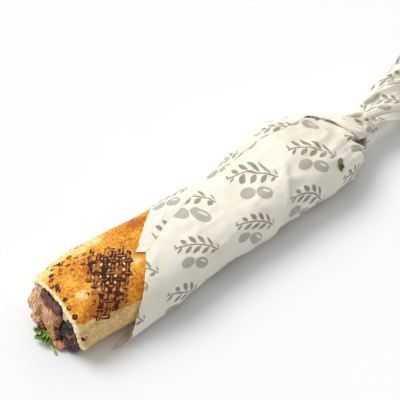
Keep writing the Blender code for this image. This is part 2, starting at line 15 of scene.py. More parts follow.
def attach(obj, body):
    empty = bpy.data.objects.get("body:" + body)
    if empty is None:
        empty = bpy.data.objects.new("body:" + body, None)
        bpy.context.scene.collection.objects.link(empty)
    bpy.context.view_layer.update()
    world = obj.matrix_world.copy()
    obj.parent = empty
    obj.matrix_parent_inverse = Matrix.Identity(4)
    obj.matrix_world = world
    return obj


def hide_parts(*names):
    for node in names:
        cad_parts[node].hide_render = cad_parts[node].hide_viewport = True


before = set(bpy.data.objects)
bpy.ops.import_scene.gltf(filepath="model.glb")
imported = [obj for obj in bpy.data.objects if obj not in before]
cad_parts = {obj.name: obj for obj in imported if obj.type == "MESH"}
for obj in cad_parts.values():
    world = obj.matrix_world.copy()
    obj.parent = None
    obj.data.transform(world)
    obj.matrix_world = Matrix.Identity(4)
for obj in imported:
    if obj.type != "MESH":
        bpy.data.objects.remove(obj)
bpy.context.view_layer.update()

MM = 0.001
SHIFT = np.array((-166.134, 0.193, 0.4)) * MM

# Noise that gives a direction starts from the clock unless it has a seed.
NOISE_SEED = 1
noise.seed_set(NOISE_SEED)

# ---- The camera and the light --------------------------------------------------------------------

VIEW_AZIMUTH = math.radians(-39.11)
VIEW_ELEVATION = math.radians(48.13)
VIEW_DISTANCE = 946.4 * MM
VIEW_TARGET = np.array((132.2, 17.76, 22.0)) * MM
VIEW_ANGLE = math.radians(16.889)
SENSOR_WIDTH = 36

# The studio's walls are brightest behind and above the sandwich, and dim on the camera's side.
SKY_COLOR = (0.955, 0.975, 1.0, 1.0)
SKY_DIM = 0.30
SKY_BRIGHT = 0.885
SKY_FROM = (-0.12, 0.55, 0.83)
SKY_BRIGHTENS_FROM = -0.3
SUN_STRENGTH = 1.93
SUN_ANGLE = math.radians(36)
SUN_FROM = Vector((-0.26, 0.60, 1.1))


def srgb(red, green, blue):
    """A colour given as it shows on a screen, from 0 to 255, in linear light."""
    shown = np.array((red, green, blue)) / 255
    return tuple(np.where(shown <= 0.04045, shown / 12.92, ((shown + 0.055) / 1.055) ** 2.4))


def add_object(name, data):
    made = bpy.data.objects.new(name, data)
    bpy.context.scene.collection.objects.link(made)
    return made


def add_camera():
    ahead = Vector((-math.sin(VIEW_AZIMUTH), math.cos(VIEW_AZIMUTH), 0)) * math.cos(VIEW_ELEVATION)
    ahead.z = -math.sin(VIEW_ELEVATION)
    right = ahead.cross(Vector((0, 0, 1))).normalized()
    camera = add_object("camera", bpy.data.cameras.new("camera"))
    turn = Matrix((right, right.cross(ahead), -ahead)).transposed().to_4x4()
    camera.matrix_world = Matrix.Translation(Vector(VIEW_TARGET + SHIFT) - ahead * VIEW_DISTANCE) @ turn
    camera.data.sensor_fit = "HORIZONTAL"
    camera.data.sensor_width = SENSOR_WIDTH
    camera.data.lens = SENSOR_WIDTH / 2 / math.tan(VIEW_ANGLE / 2)
    bpy.context.scene.camera = camera


def add_light():
    world = bpy.data.worlds.new("studio")
    world.use_nodes = True
    nodes, links = world.node_tree.nodes, world.node_tree.links
    toward = nodes.new("ShaderNodeVectorMath")
    toward.operation = "DOT_PRODUCT"
    links.new(nodes.new("ShaderNodeTexCoord").outputs["Generated"], toward.inputs[0])
    toward.inputs[1].default_value = SKY_FROM
    fade = nodes.new("ShaderNodeMapRange")
    links.new(toward.outputs["Value"], fade.inputs["Value"])
    fade.inputs["From Min"].default_value = SKY_BRIGHTENS_FROM
    fade.inputs["To Min"].default_value = SKY_DIM
    fade.inputs["To Max"].default_value = SKY_BRIGHT
    backdrop = nodes["Background"]
    backdrop.inputs["Color"].default_value = SKY_COLOR
    links.new(fade.outputs["Result"], backdrop.inputs["Strength"])
    bpy.context.scene.world = world
    sun = add_object("softbox", bpy.data.lights.new("softbox", "SUN"))
    sun.data.energy = SUN_STRENGTH
    sun.data.angle = SUN_ANGLE
    sun.matrix_world = SUN_FROM.to_track_quat("Z", "Y").to_matrix().to_4x4()
    bpy.context.scene.view_settings.view_transform = "Standard"


# ---- The form of the roll, as in the source ------------------------------------------------------

# Distance from the mouth, half width of the roll there, and how far its middle lies to the side.
STATIONS = np.array([
    (0, 30.9, 0.0), (20, 33.2, 0.6), (45, 34.0, -2.2), (70, 33.8, -4.4), (95, 32.0, -3.6),
    (120, 31.7, -3.0), (150, 31.7, -3.2), (175, 33.8, 0.4), (200, 36.0, 2.6), (220, 34.2, 0.8),
    (240, 28.4, -0.4), (252, 22.2, -1.2), (264, 14.4, -0.6), (276, 10.2, 0.9),
]) * MM
HEIGHT_SHARE = 0.70
MOUTH_HEIGHT_SHARE = 0.645
MOUTH_FLATTENED_OVER = 60 * MM
ROUND = 2 / 2.5
NECK_X = 276 * MM
NECK_Z = 24 * MM
NECK_HEIGHT_SHARE = 0.92
END_STARTS = 236 * MM
SINK = 0.5 * MM
PAPER = 0.8 * MM
BREAD = 2.8 * MM
GAP = 0.35 * MM
MOUTH_LEAN = 3.0 * MM
MOUTH_LEAN_OVER = 40 * MM
BREAD_INSET = PAPER + GAP
CAVITY_INSET = BREAD_INSET + BREAD
BESIDE = -0.1 * MM

# How far the mouth's edge reaches along the roll, in mm, at angles round it in degrees.
LIP_REACH = (
    (0, 45, 75, 90, 103, 120, 135, 151, 172, 187, 230, 300),
    (0, 0, 0.7, 0.9, -0.1, -1.5, -2.0, -3.4, -4.6, -4.6, -1.5, 0),
)
LIP_WAVE = 0.2 * MM
LIP_EVEN_FROM = 25 * MM

# The paper falls in past a ridge: at angles round the roll in degrees, its distance from the mouth.
RIDGE = ((60, 80, 110, 150, 190, 215), (198, 192, 184, 172, 160, 152))
# Each dent's depth, its middle and half width along the roll, and the same round it.
DENTS = [(2.4, 214, 12, 84, 15), (1.3, 185, 7, 150, 11), (0.6, 128, 9, 150, 12)]


def smooth_curve(x, xs, ys):
    """A smooth curve through the points xs, ys, read at x."""
    slopes = np.gradient(ys, xs)
    x = np.clip(x, xs[0], xs[-1])
    i = np.clip(np.searchsorted(xs, x) - 1, 0, len(xs) - 2)
    step = xs[i + 1] - xs[i]
    t = (x - xs[i]) / step
    rise = ys[i] * (2 * t**3 - 3 * t**2 + 1) + ys[i + 1] * (3 * t**2 - 2 * t**3)
    return rise + step * (slopes[i] * (t**3 - 2 * t**2 + t) + slopes[i + 1] * (t**3 - t**2))


def ease(x, start, end):
    """0 up to start, 1 from end on, and smooth between. The other way round where start > end."""
    t = np.clip((x - start) / (end - start), 0, 1)
    return t * t * (3 - 2 * t)


def hump(x, middle_x, half):
    """A smooth bump that is 1 at its middle and nearly 0 at twice its half width."""
    return np.exp(-(((x - middle_x) / half) ** 2))


def spots(xs, degrees, listed):
    """The sum of soft spots on the roll, each a height, then its middle and half width both ways."""
    return sum(h * hump(xs, x, half) * hump(degrees, turn, span) for h, x, half, turn, span in listed)


def half_sizes(x):
    """Half width and half height of the roll at a distance x from its mouth."""
    width = smooth_curve(x, STATIONS[:, 0], STATIONS[:, 1])
    flattened = np.clip(1 - x / MOUTH_FLATTENED_OVER, 0, 1)
    share = HEIGHT_SHARE + (MOUTH_HEIGHT_SHARE - HEIGHT_SHARE) * flattened
    share = share + (NECK_HEIGHT_SHARE - share) * ease(x, END_STARTS, NECK_X)
    return width, width * share


def middle(x):
    """Sideways offset and height of the roll's middle at a distance x from its mouth."""
    side = smooth_curve(x, STATIONS[:, 0], STATIONS[:, 2])
    resting = half_sizes(x)[1] - SINK
    return side, resting + (NECK_Z - resting) * ease(x, END_STARTS, NECK_X)


def power(value, exponent):
    return np.sign(value) * np.abs(value) ** exponent


def skin(x, angle, inset=0.0, lowest=-1.0):
    """Points of the roll's surface at distances x and angles round it, moved in by inset."""
    width, height = half_sizes(x)
    side, up = middle(x)
    across = power(np.cos(angle), ROUND)
    above = power(np.sin(angle), ROUND)
    lean = MOUTH_LEAN * above * np.clip(1 - x / MOUTH_LEAN_OVER, 0, 1)
    z = np.maximum(up + (height - inset) * above, lowest)
    return np.stack(np.broadcast_arrays(x - lean, side + (width - inset) * across, z), axis=-1)


def grain(points, size, seed=0.0):
    """Smooth noise from about -1 to 1 at each point. size is in mm, one number or one for each axis."""
    points = np.asarray(points) / (np.array(size) * MM) + seed
    flat = points.reshape(-1, 3)
    return np.array([noise.noise(Vector(p)) for p in flat]).reshape(points.shape[:-1])


def lip_x(x, angle):
    """The mouth's edge is torn unevenly, and reaches further on its near side."""
    torn = np.maximum(0.0, 1 - x / LIP_EVEN_FROM)
    reach = np.interp(np.degrees(angle) % 360, *LIP_REACH) * MM
    return torn * (reach + LIP_WAVE * (np.sin(3 * angle + 0.6) + 0.6 * np.sin(7 * angle)))


def pressed(x, angle):
    """How far the paper and the bread under it are pushed in from the plain form, in m."""
    points = skin(x, angle)
    xs, degrees = x / MM, np.degrees(angle) % 360
    past = xs - np.interp(degrees, *RIDGE)
    fall = np.where(past > 0, np.exp(-past / 15.0) * (1 - np.exp(-past / 3.2)), 0)
    fold = (3.1 * fall - 0.9 * np.exp(-np.abs(past) / 5.5)) * ease(degrees, 88, 118) * ease(degrees, 232, 205)
    creases = (np.abs(grain(points, (26, 11, 11), 4.4)) - 0.22) * 2.4 + np.abs(grain(points, 7, 2.9)) * 0.55
    soft = grain(points, (26, 14, 14), 7.7) * 0.50 + grain(points, (11, 7, 7), 2.7) * 0.16
    sharp = np.maximum(0.20 - np.abs(grain(points, (34, 17, 17), 5.2)), 0) * 1.6
    dents = fold + spots(xs, degrees, DENTS) + creases * ease(xs, 72, 100)
    return (dents + soft - sharp) * MM * ease(xs, 25, 60)


# ---- Meshes ---------------------------------------------------------------------------------------


def unit(vectors):
    """The same directions, each 1 long."""
    return vectors / np.maximum(np.linalg.norm(vectors, axis=-1, keepdims=True), 1e-12)


def turns(count):
    """Angles evenly spaced round a circle."""
    return np.linspace(0, 2 * math.pi, count, endpoint=False)


def walked(points):
    """The distance from the first of a row of points to each of them, along the row."""
    steps = np.linalg.norm(np.diff(points, axis=0), axis=-1)
    return np.concatenate([np.zeros_like(steps[:1]), np.cumsum(steps, axis=0)])


def kept_above(points, lowest=BESIDE):
    """The points, with those that are under the lowest height raised to it."""
    points[..., 2] = np.maximum(points[..., 2], lowest)
    return points


def grid_faces(rows, columns, closed=False):
    """The quads of a grid of points, given row by row; closed joins the last column to the first."""
    row = np.arange(rows - 1)[:, None] * columns
    here = np.arange(columns if closed else columns - 1)[None, :]
    there = (here + 1) % columns
    quads = np.stack([row + here, row + there, row + columns + there, row + columns + here], axis=-1)
    return quads.reshape(-1, 4).tolist()


def fan_faces(ring, tip):
    """The triangles from a closed ring of points to one more point."""
    return [(ring[k], ring[(k + 1) % len(ring)], tip) for k in range(len(ring))]


def closed_tube(rows):
    """The points of rows of closed rings, then a tip for each end, and the faces of that solid."""
    count = rows.shape[1]
    total = rows.shape[0] * count
    faces = grid_faces(rows.shape[0], count, closed=True)
    faces += fan_faces(range(count)[::-1], total)
    faces += fan_faces(range(total - count, total), total + 1)
    return np.concatenate([rows.reshape(-1, 3), [rows[0].mean(axis=0), rows[-1].mean(axis=0)]]), faces


class Piece:
    """A smooth mesh that rides on the sandwich, joined from parts, with fields as its attributes."""

    def __init__(self, name):
        self.name = name
        self.points, self.faces, self.fields = [], [], {}
        self.size = 0

    def add(self, points, faces, **fields):
        points = np.asarray(points).reshape(-1, 3)
        self.points.append(points)
        self.faces += [[corner + self.size for corner in face] for face in faces]
        self.size += len(points)
        for field, values in fields.items():
            self.fields.setdefault(field, []).append(np.ravel(values))

    def finish(self, material, replaced, thickness=0):
        mesh = bpy.data.meshes.new(self.name)
        mesh.from_pydata((np.concatenate(self.points) + SHIFT).tolist(), [], self.faces)
        for field, values in self.fields.items():
            attribute = mesh.attributes.new(field, "FLOAT", "POINT")
            attribute.data.foreach_set("value", np.concatenate(values).astype(np.float32))
        mesh.validate()
        mesh.shade_smooth()
        mesh.materials.append(material)
        made = add_object(self.name, mesh)
        if thickness:
            thick = made.modifiers.new("thickness", "SOLIDIFY")
            thick.thickness = thickness
            thick.offset = 0
        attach(made, "root")
        if replaced:
            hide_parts(*replaced)


# ---- Paints ---------------------------------------------------------------------------------------


class Value:
    """What a material's node gives, so that sums of it are written with Python's own signs."""

    def __init__(self, paint, socket):
        self.paint, self.socket = paint, socket

    def __add__(self, other):
        return self.paint.math("ADD", self, other)

    def __sub__(self, other):
        return self.paint.math("SUBTRACT", self, other)

    def __rsub__(self, other):
        return self.paint.math("SUBTRACT", other, self)

    def __mul__(self, other):
        return self.paint.math("MULTIPLY", self, other)

    def __truediv__(self, other):
        return self.paint.math("DIVIDE", self, other)

    def __abs__(self):
        return self.paint.math("ABSOLUTE", self)


class Paint:
    """A material, with its nodes written as calls that return values."""

    def __init__(self, name):
        self.material = bpy.data.materials.new(name)
        self.material.use_nodes = True
        self.nodes = self.material.node_tree.nodes
        self.links = self.material.node_tree.links
        self.shader = self.nodes["Principled BSDF"]

    def put(self, socket, value):
        if isinstance(value, Value):
            self.links.new(value.socket, socket)
        elif socket.type == "RGBA" and len(value) == 3:
            socket.default_value = (*value, 1.0)
        else:
            socket.default_value = value

    def make(self, kind, inputs, out=0, **settings):
        node = self.nodes.new(kind)
        for setting, value in settings.items():
            setattr(node, setting, value)
        for socket, value in inputs.items():
            self.put(node.inputs[socket], value)
        return Value(self, node.outputs[out])

    def math(self, operation, first, second=0.0):
        return self.make("ShaderNodeMath", {0: first, 1: second}, operation=operation)

    def mix(self, share, first, second):
        return self.make("ShaderNodeMix", {0: share, 6: first, 7: second}, out=2, data_type="RGBA")

    def smooth(self, value, start, end, low=0.0, high=1.0):
        inputs = {0: value, 1: start, 2: end, 3: low, 4: high}
        return self.make("ShaderNodeMapRange", inputs, interpolation_type="SMOOTHSTEP")

    def blend(self, value, start, end, first, second):
        """The first colour where the value is at its start, and the second where it is at its end."""
        return self.mix(self.smooth(value, start, end), first, second)

    def field(self, name):
        return self.make("ShaderNodeAttribute", {}, out=2, attribute_name=name)

    def grain(self, size, detail=2.0, roughness=0.5):
        """Noise from 0 to 1 with bumps about size mm across."""
        place = self.make("ShaderNodeTexCoord", {}, out=3)
        inputs = {"Vector": place, "Scale": 1 / (size * MM), "Detail": detail, "Roughness": roughness}
        return self.make("ShaderNodeTexNoise", inputs)

    def fibres(self, along, across, detail=3.0):
        """Noise drawn out along a strand, from the fields that say where a point lies on it."""
        inputs = {0: self.field("along") / along, 1: self.field("round") / across, 2: 0.0}
        place = self.make("ShaderNodeCombineXYZ", inputs)
        return self.make("ShaderNodeTexNoise", {"Vector": place, "Scale": 1.0, "Detail": detail})

    def bump(self, height, distance, under=None):
        inputs = {"Height": height, "Distance": distance * MM, "Strength": 1.0}
        if under:
            inputs["Normal"] = under
        return self.make("ShaderNodeBump", inputs)

    def set(self, **inputs):
        for socket, value in inputs.items():
            self.put(self.shader.inputs[socket.replace("_", " ")], value)
        return self.material


# ---- The bread ------------------------------------------------------------------------------------

# How far apart the points of the crust lie, in mm: where it shows, under the paper and underneath.
FINE = 0.45
COARSE = 1.5
COARSE_ROUND = 1.7
SHOWN_X = (1.2, 66)
COVERED_X = (66.5, 110)
SHOWN_ANGLES = (-14, 199)
# The upper lip is thinner and the near one curls out: by how much, at which angle and how widely
# round it in degrees, and how far in from the mouth.
THIN_LIP = 1.9 * MM
THIN_LIP_AT = (92, 30)
THIN_LIP_OVER = 9.0
LIP_CURL = 1.3 * MM
LIP_CURL_AT = (198, 13)
LIP_CURL_OVER = 16 * MM
TEAR = 0.8 * MM
SMALL_TEAR = 0.3 * MM
BLISTER_HEIGHT = 0.32 * MM
PUFF = 0.15 * MM
CHAR_DEPTH = 0.20 * MM
RELIEF_ENDS = (112, 100)
BREAD_INNER_X = (0.6, 2, 5, 10, 20, 45, 70, 90, 120, 145, 168, 185, 200, 213, 226, 242)
BREAD_HIDDEN_X = (114, 122, 131, 140, 150, 159, 168, 176, 185, 193, 202, 210, 218, 226, 234, 244, 253)
BREAD_END_BULGE = 2 * MM
# The rings of the mouth's rim: distance from the mouth and depth in the wall, in mm.
RIM = [(0.55, 0.12), (0.05, 0.40), (-0.45, 0.85), (-0.75, 1.40), (-0.65, 2.0), (-0.2, 2.5)]
# How much further in the bread lies under the paper, and from where to where it gets there.
BREAD_ROOM = [(1.95, 222, 276), (1.1, 112, 128), (3.0, 230, 246)]
# The lines where the crust folds on its near side: distance round from its top, depth and slope.
CRUST_FOLDS = [(22.5, 0.7, 0.02), (27.5, 0.9, -0.05), (32.0, 1.1, 0.06)]
CRUST_FOLD_HALF = 1.2

# The print of the woven grill: the place of one crossing of its wires, in mm along the roll and round
# it from its top, and the steps to the next crossing each way.
GRILL_ZERO = np.array((40.1, -10.8))
GRILL_STEPS = np.array([(3.71, 2.61), (-2.95, 3.84)])
# Where the print is dark: columns and rows of the grill, and how dark.
GRILL_PATCHES = [
    ((0, 4), (1, 5), 1.1), ((1, 3), (2, 5), 1.3), ((2, 3), (0, 0), 1.0), ((1, 1), (0, 0), 0.7),
    ((-1, -1), (0, 5), 0.75), ((1, 3), (6, 8), 0.95), ((4, 4), (6, 8), 0.7), ((0, 0), (6, 6), 0.6),
    ((1, 3), (9, 9), 0.8), ((0, 2), (10, 10), 0.7),
]
# Sizes of a wire's mark, and how far the print strays, all in crossings.
MARK_HALF_ACROSS = 0.205
MARK_HALF_ALONG = 0.66
MARK_HALF_LEVEL = 0.50
MARK_LINE = 0.13
PRINT_WARP = 0.14
PRINT_RIPPLE = 0.12
# Single marks: distance from the mouth, angle round the roll, darkness, half sizes in crossings.
SINGLE_MARKS = [
    (18.6, 26, 0.7, 0.22, 0.26), (17.6, 57, 1.1, 0.22, 0.50), (24.0, 57, 0.9, 0.20, 0.36),
    (33.5, 36, 0.8, 0.20, 0.26), (24.9, 24, 0.7, 0.16, 0.20), (26.1, 66, 0.6, 0.24, 0.16),
    (24.0, 74, 0.6, 0.26, 0.20), (31.7, 68, 0.7, 0.16, 0.20), (35.1, 73, 1.0, 0.20, 0.18),
    (32.8, 79, 0.7, 0.24, 0.16), (28.8, 75, 0.7, 0.16, 0.22), (26.3, 81, 0.8, 0.18, 0.14),
    (30.2, 85, 1.0, 0.22, 0.24), (27.4, 89, 0.9, 0.22, 0.22), (21.7, 98, 1.0, 0.26, 0.18),
    (25.3, 92, 0.5, 0.18, 0.14), (13.9, 51, 0.8, 0.48, 0.14), (9.8, 38, 0.9, 0.22, 0.26),
    (10.4, 24, 0.9, 0.20, 0.26), (11.4, 55, 0.8, 0.18, 0.26), (7.5, 64, 1.1, 0.24, 0.22),
    (5.1, 71, 1.1, 0.20, 0.24), (3.1, 79, 0.9, 0.24, 0.16), (5.6, 83, 1.0, 0.18, 0.36),
    (3.6, 88, 1.2, 0.22, 0.26), (3.5, 98, 1.2, 0.18, 0.20), (2.7, 110, 1.1, 0.24, 0.18),
    (2.6, 126, 1.0, 0.26, 0.18), (2.2, 137, 0.7, 0.22, 0.20), (3.4, 173, 1.1, 0.22, 0.20),
    (1.4, 169, 0.9, 0.16, 0.16), (19.4, 69, 0.6, 0.32, 0.12), (14.2, 68, 0.7, 0.18, 0.22),
    (19.2, 79, 0.7, 0.24, 0.14), (19.5, 90, 0.5, 0.18, 0.16), (11.3, 73, 0.5, 0.18, 0.18),
    (22.5, 107, 0.9, 0.44, 0.13), (15.9, 110, 0.6, 0.20, 0.18), (19.9, 114, 0.8, 0.40, 0.16),
    (15.9, 124, 0.9, 0.26, 0.20), (37.0, 40, 0.6, 0.18, 0.20), (8.2, 100, 0.4, 0.16, 0.16),
]
# The crust's floury and toasted spots, and the line of its pale near side: distances from the mouth
# and angles.
FLOURY_SPOTS = [(0.9, 13, 5, 107, 8), (0.4, 30, 9, 72, 8), (0.64, 54, 7, 104, 9), (0.32, 50, 9, 66, 11)]
TOASTED_SPOTS = [
    (0.95, 14, 8, 136, 12), (0.6, 46, 7, 134, 14), (0.75, 74, 12, 60, 16),
    (0.6, 24, 9, 147, 7), (0.45, 28, 8, 86, 12), (0.30, 56, 7, 78, 9),
]
NEAR_LINE = ((0, 6, 14, 30, 45, 70), (134, 141, 151, 158, 160, 162))


def around(x, angle):
    """Distance round the roll from its top towards its near side, at the bread's outside."""
    table = np.radians(np.arange(-150, 331, 2.0))
    at = np.arange(0, 281, 10) * MM
    lengths = []
    for place in at:
        steps = walked(skin(np.full(table.shape, place), table, BREAD_INSET)[:, 1:])
        lengths.append(steps - np.interp(math.pi / 2, table, steps))
    lengths = np.array(lengths)
    low = np.clip(np.searchsorted(at, x) - 1, 0, len(at) - 2)
    share = np.clip((x - at[low]) / (at[low + 1] - at[low]), 0, 1)
    spot = (angle - table[0]) / (table[1] - table[0])
    left = np.clip(spot.astype(int), 0, len(table) - 2)
    part = spot - left

    def read(row):
        return lengths[row, left] * (1 - part) + lengths[row, left + 1] * part

    return read(low) * (1 - share) + read(low + 1) * share


def grill_place(x, angle):
    """Where a place on the roll lies on the grill, in crossings each way."""
    return (np.stack([x, around(x, angle)], axis=-1) / MM - GRILL_ZERO) @ np.linalg.inv(GRILL_STEPS)


def wire_mark(across, along, half_across, half_along, line):
    """The mark that one wire leaves at a crossing: two dark sides, fainter ends, a paler middle."""
    across, along = np.abs(across), np.abs(along)
    sides = 1.15 * hump(across, half_across, line) * ease(along, half_along + line, half_along - line)
    ends = 0.8 * hump(along, half_along, line) * (across < half_across)
    inside = 0.24 * (across < half_across) * (along < half_along)
    return np.maximum(np.maximum(sides, ends), inside)


def hashed(column, row, seed):
    """A number from 0 to 1 for each crossing, always the same."""
    value = np.sin(column * 127.1 + row * 311.7 + seed * 74.7) * 43758.5453
    return value - np.floor(value)


def patch_strength(column, row):
    """How dark the print is at each crossing."""
    strength = np.zeros(column.shape)
    for columns, rows, dark in GRILL_PATCHES:
        inside = (column >= columns[0]) & (column <= columns[1]) & (row >= rows[0]) & (row <= rows[1])
        strength = np.where(inside, dark, strength)
    return strength


def crossing_mark(grid, column, row):
    """How dark each point is from the wires that cross at a column and row near it."""
    off_column, off_row = grid[..., 0] - column, grid[..., 1] - row
    lengthwise = (column + row) % 2 == 1
    across = np.where(lengthwise, off_column, off_row)
    along = np.where(lengthwise, off_row, off_column)
    length = np.where(lengthwise, MARK_HALF_ALONG, MARK_HALF_LEVEL) * (0.84 + 0.32 * hashed(column, row, 7))
    wide = MARK_HALF_ACROSS * (0.82 + 0.36 * hashed(column, row, 9))
    blurred = 0.03 * ease(row, 5, 7) + 0.06 * (hashed(column, row, 11) - 0.5)
    mark = wire_mark(across, along, wide, length, MARK_LINE + blurred)
    smudge = 0.40 * ease(hashed(column, row, 13), 0.55, 1.0) * hump(across, 0, 0.2) * hump(along, 0, 0.3)
    strength = patch_strength(column, row) * (0.80 + 0.36 * hashed(column, row, 3))
    return np.maximum(mark, smudge) * strength


def grill_print(x, angle, points):
    """How charred and how pressed the bread is, and where it is browned and pale between the wires."""
    warp = np.stack([grain(points, 8.0, 3.1), grain(points, 8.0, 8.4)], axis=-1) * PRINT_WARP
    ripple = np.stack([grain(points, 1.6, 5.5), grain(points, 1.6, 1.9)], axis=-1) * PRINT_RIPPLE
    straight = grill_place(x, angle)
    grid = straight + warp + ripple
    worn = 0.88 + 1.0 * grain(points, 2.6, 6.6) + 0.4 * grain(points, 1.1, 2.6)
    column, row = np.round(grid[..., 0]), np.round(grid[..., 1])
    char = np.zeros(x.shape)
    for step_column in (-1, 0, 1):
        for step_row in (-1, 0, 1):
            char = np.maximum(char, crossing_mark(grid, column + step_column, row + step_row))
    for mark_x, degrees, dark, *halves in SINGLE_MARKS:
        centre = grill_place(np.array([mark_x]) * MM, np.radians([degrees]))
        off = straight + ripple - centre
        char = np.maximum(char, wire_mark(off[..., 0], off[..., 1], *halves, MARK_LINE) * dark)
    gc, gr = grid[..., 0], grid[..., 1]
    browned = ease(gc, -0.9, 0.2) * ease(gc, 4.9, 3.9) * ease(gr, 0.2, 1.4) * ease(gr, 10.9, 8.6)
    between = ease(np.abs(gc - column), 0.24, 0.36) * ease(np.abs(gr - row), 0.22, 0.34)
    between = between * browned * ease(gr, 8.0, 5.0) * ease(hashed(np.floor(gc), np.floor(gr), 5), -0.2, 0.7)
    return np.clip(char * worn, 0, 1), patch_strength(column, row), browned, between


def bread_rows():
    """The rows of points along the bread's outside, in m from the mouth."""
    return np.concatenate([np.arange(*SHOWN_X, FINE), np.arange(*COVERED_X, COARSE), BREAD_HIDDEN_X]) * MM


def bread_columns():
    """The angles of the points round the bread, close together where it shows."""
    table = np.radians(np.arange(-160, 201, 0.25))
    ring = skin(np.full(table.shape, 40 * MM), table, BREAD_INSET)[:, 1:]
    steps = np.linalg.norm(np.diff(ring, axis=0), axis=1)
    degrees = np.degrees((table[1:] + table[:-1]) / 2)
    shown = (degrees > SHOWN_ANGLES[0]) & (degrees < SHOWN_ANGLES[1])
    spacing = np.where(shown, FINE, COARSE_ROUND) * MM
    count = np.concatenate([[0], np.cumsum(steps / spacing)])
    total = int(count[-1])
    return np.interp(np.arange(total) * count[-1] / total, count, table)


def bread_relief(x, angle, points, char, block):
    """How far the bread's outside stands out from its plain form, in m."""
    degrees = np.degrees(angle)
    blisters = np.minimum(grain(points, 9.0) + grain(points, 4.0) / 2, 0.4) * BLISTER_HEIGHT
    crumb = (grain(points, 1.3, 2.0) * 0.07 + grain(points, 2.7, 3.0) * 0.06) * MM
    puffed = PUFF * block * (1 - char) - CHAR_DEPTH * char
    folds = 0.0
    for place, depth, slope in CRUST_FOLDS:
        off = around(x, angle) / MM - place - slope * x / MM + grain(points, 14.0, place) * 1.4
        folds = folds - depth * hump(off, 0, CRUST_FOLD_HALF) * MM
    curled = LIP_CURL * hump(degrees, *LIP_CURL_AT) * np.clip(1 - x / LIP_CURL_OVER, 0, 1) ** 2
    shown = ease(x / MM, *RELIEF_ENDS)
    return (blisters + crumb + puffed + ease(degrees, 140, 166) * folds + curled) * shown


def bread_tones(x, angle, points):
    """Where the bread is pale, browned or on its near side, each from 0 to 1."""
    degrees, xs = np.degrees(angle), x / MM
    far = ease(xs, 58, 44) * ease(degrees + grain(points, 9, 5.0) * 14, 72, 46)
    near = ease(degrees - np.interp(xs, *NEAR_LINE) + grain(points, 5, 2.2) * 8, -6, 6)
    floury = spots(xs, degrees, FLOURY_SPOTS) * (0.8 + 0.5 * grain(points, 3, 1.0))
    pale = np.maximum(np.maximum(far, near * 0.9), floury)
    return np.clip(pale, 0, 1), np.clip(spots(xs, degrees, TOASTED_SPOTS), 0, 1), near


def bread_inside(columns):
    """The rings of the bread's inner wall, from its far end out to the mouth, and of its torn rim."""
    degrees = np.degrees(columns)
    thinned = hump(degrees, *THIN_LIP_AT)
    rings = []
    for place in reversed(BREAD_INNER_X):
        at = np.full(columns.shape, place * MM)
        wall = BREAD - THIN_LIP * thinned * float(ease(place, THIN_LIP_OVER, 0.0))
        ring = skin(at, columns, BREAD_INSET + wall + np.maximum(pressed(at, columns), 0), CAVITY_INSET)
        ring[:, 0] += lip_x(at, columns)
        rings.append(ring)
    for place, depth in reversed(RIM):
        at = np.full(columns.shape, max(place, 0) * MM)
        ring = skin(at, columns, BREAD_INSET + depth * (MM - THIN_LIP / BREAD * MM * thinned), BESIDE)
        ring[:, 0] += lip_x(at, columns) + min(place, 0) * MM
        curled = LIP_CURL * hump(degrees, *LIP_CURL_AT) * (1 - depth * MM / BREAD)
        ring[:, 1] += np.cos(columns) * curled
        ring[:, 0] += grain(ring, 2.6, 4.0) * TEAR + grain(ring, 0.9, 6.0) * SMALL_TEAR
        rings.append(ring)
    return np.array(rings)


def add_bread():
    columns = bread_columns()
    x, angle = np.meshgrid(bread_rows(), columns, indexing="ij")
    xs = x / MM
    floor = BESIDE + (BREAD_INSET - BESIDE) * ease(xs, 12, 24)
    room = sum(depth * ease(xs, start, end) for depth, start, end in BREAD_ROOM) * MM
    points = skin(x, angle, BREAD_INSET + room + pressed(x, angle), floor)
    char, block, browned, between = grill_print(x, angle, points)
    outward = np.stack([0 * x, np.cos(angle), np.maximum(np.sin(angle), -0.2)], axis=-1)
    points = kept_above(points + outward * bread_relief(x, angle, points, char, block)[..., None])
    points[..., 0] += lip_x(x, angle)
    pale, toast, near = bread_tones(x, angle, points)
    inside = bread_inside(columns)
    everything, faces = closed_tube(np.concatenate([inside, points]))
    everything[-2:, 0] += BREAD_END_BULGE
    fields = {"char": char, "toast": toast, "browned": browned, "between": between, "near": near}
    fields = {field: (0.0, values) for field, values in fields.items()}
    fields.update(pale=(1.0, pale), rim=(1.0, ease(xs, 1.9, 0.9)))
    for field, (before, values) in fields.items():
        within = np.full(inside.shape[0] * inside.shape[1], before)
        fields[field] = np.concatenate([within, values.ravel(), [0, 0]])
    piece = Piece("toasted_flatbread")
    piece.add(everything, faces, **fields)
    piece.finish(bread_paint(), ["bread"])


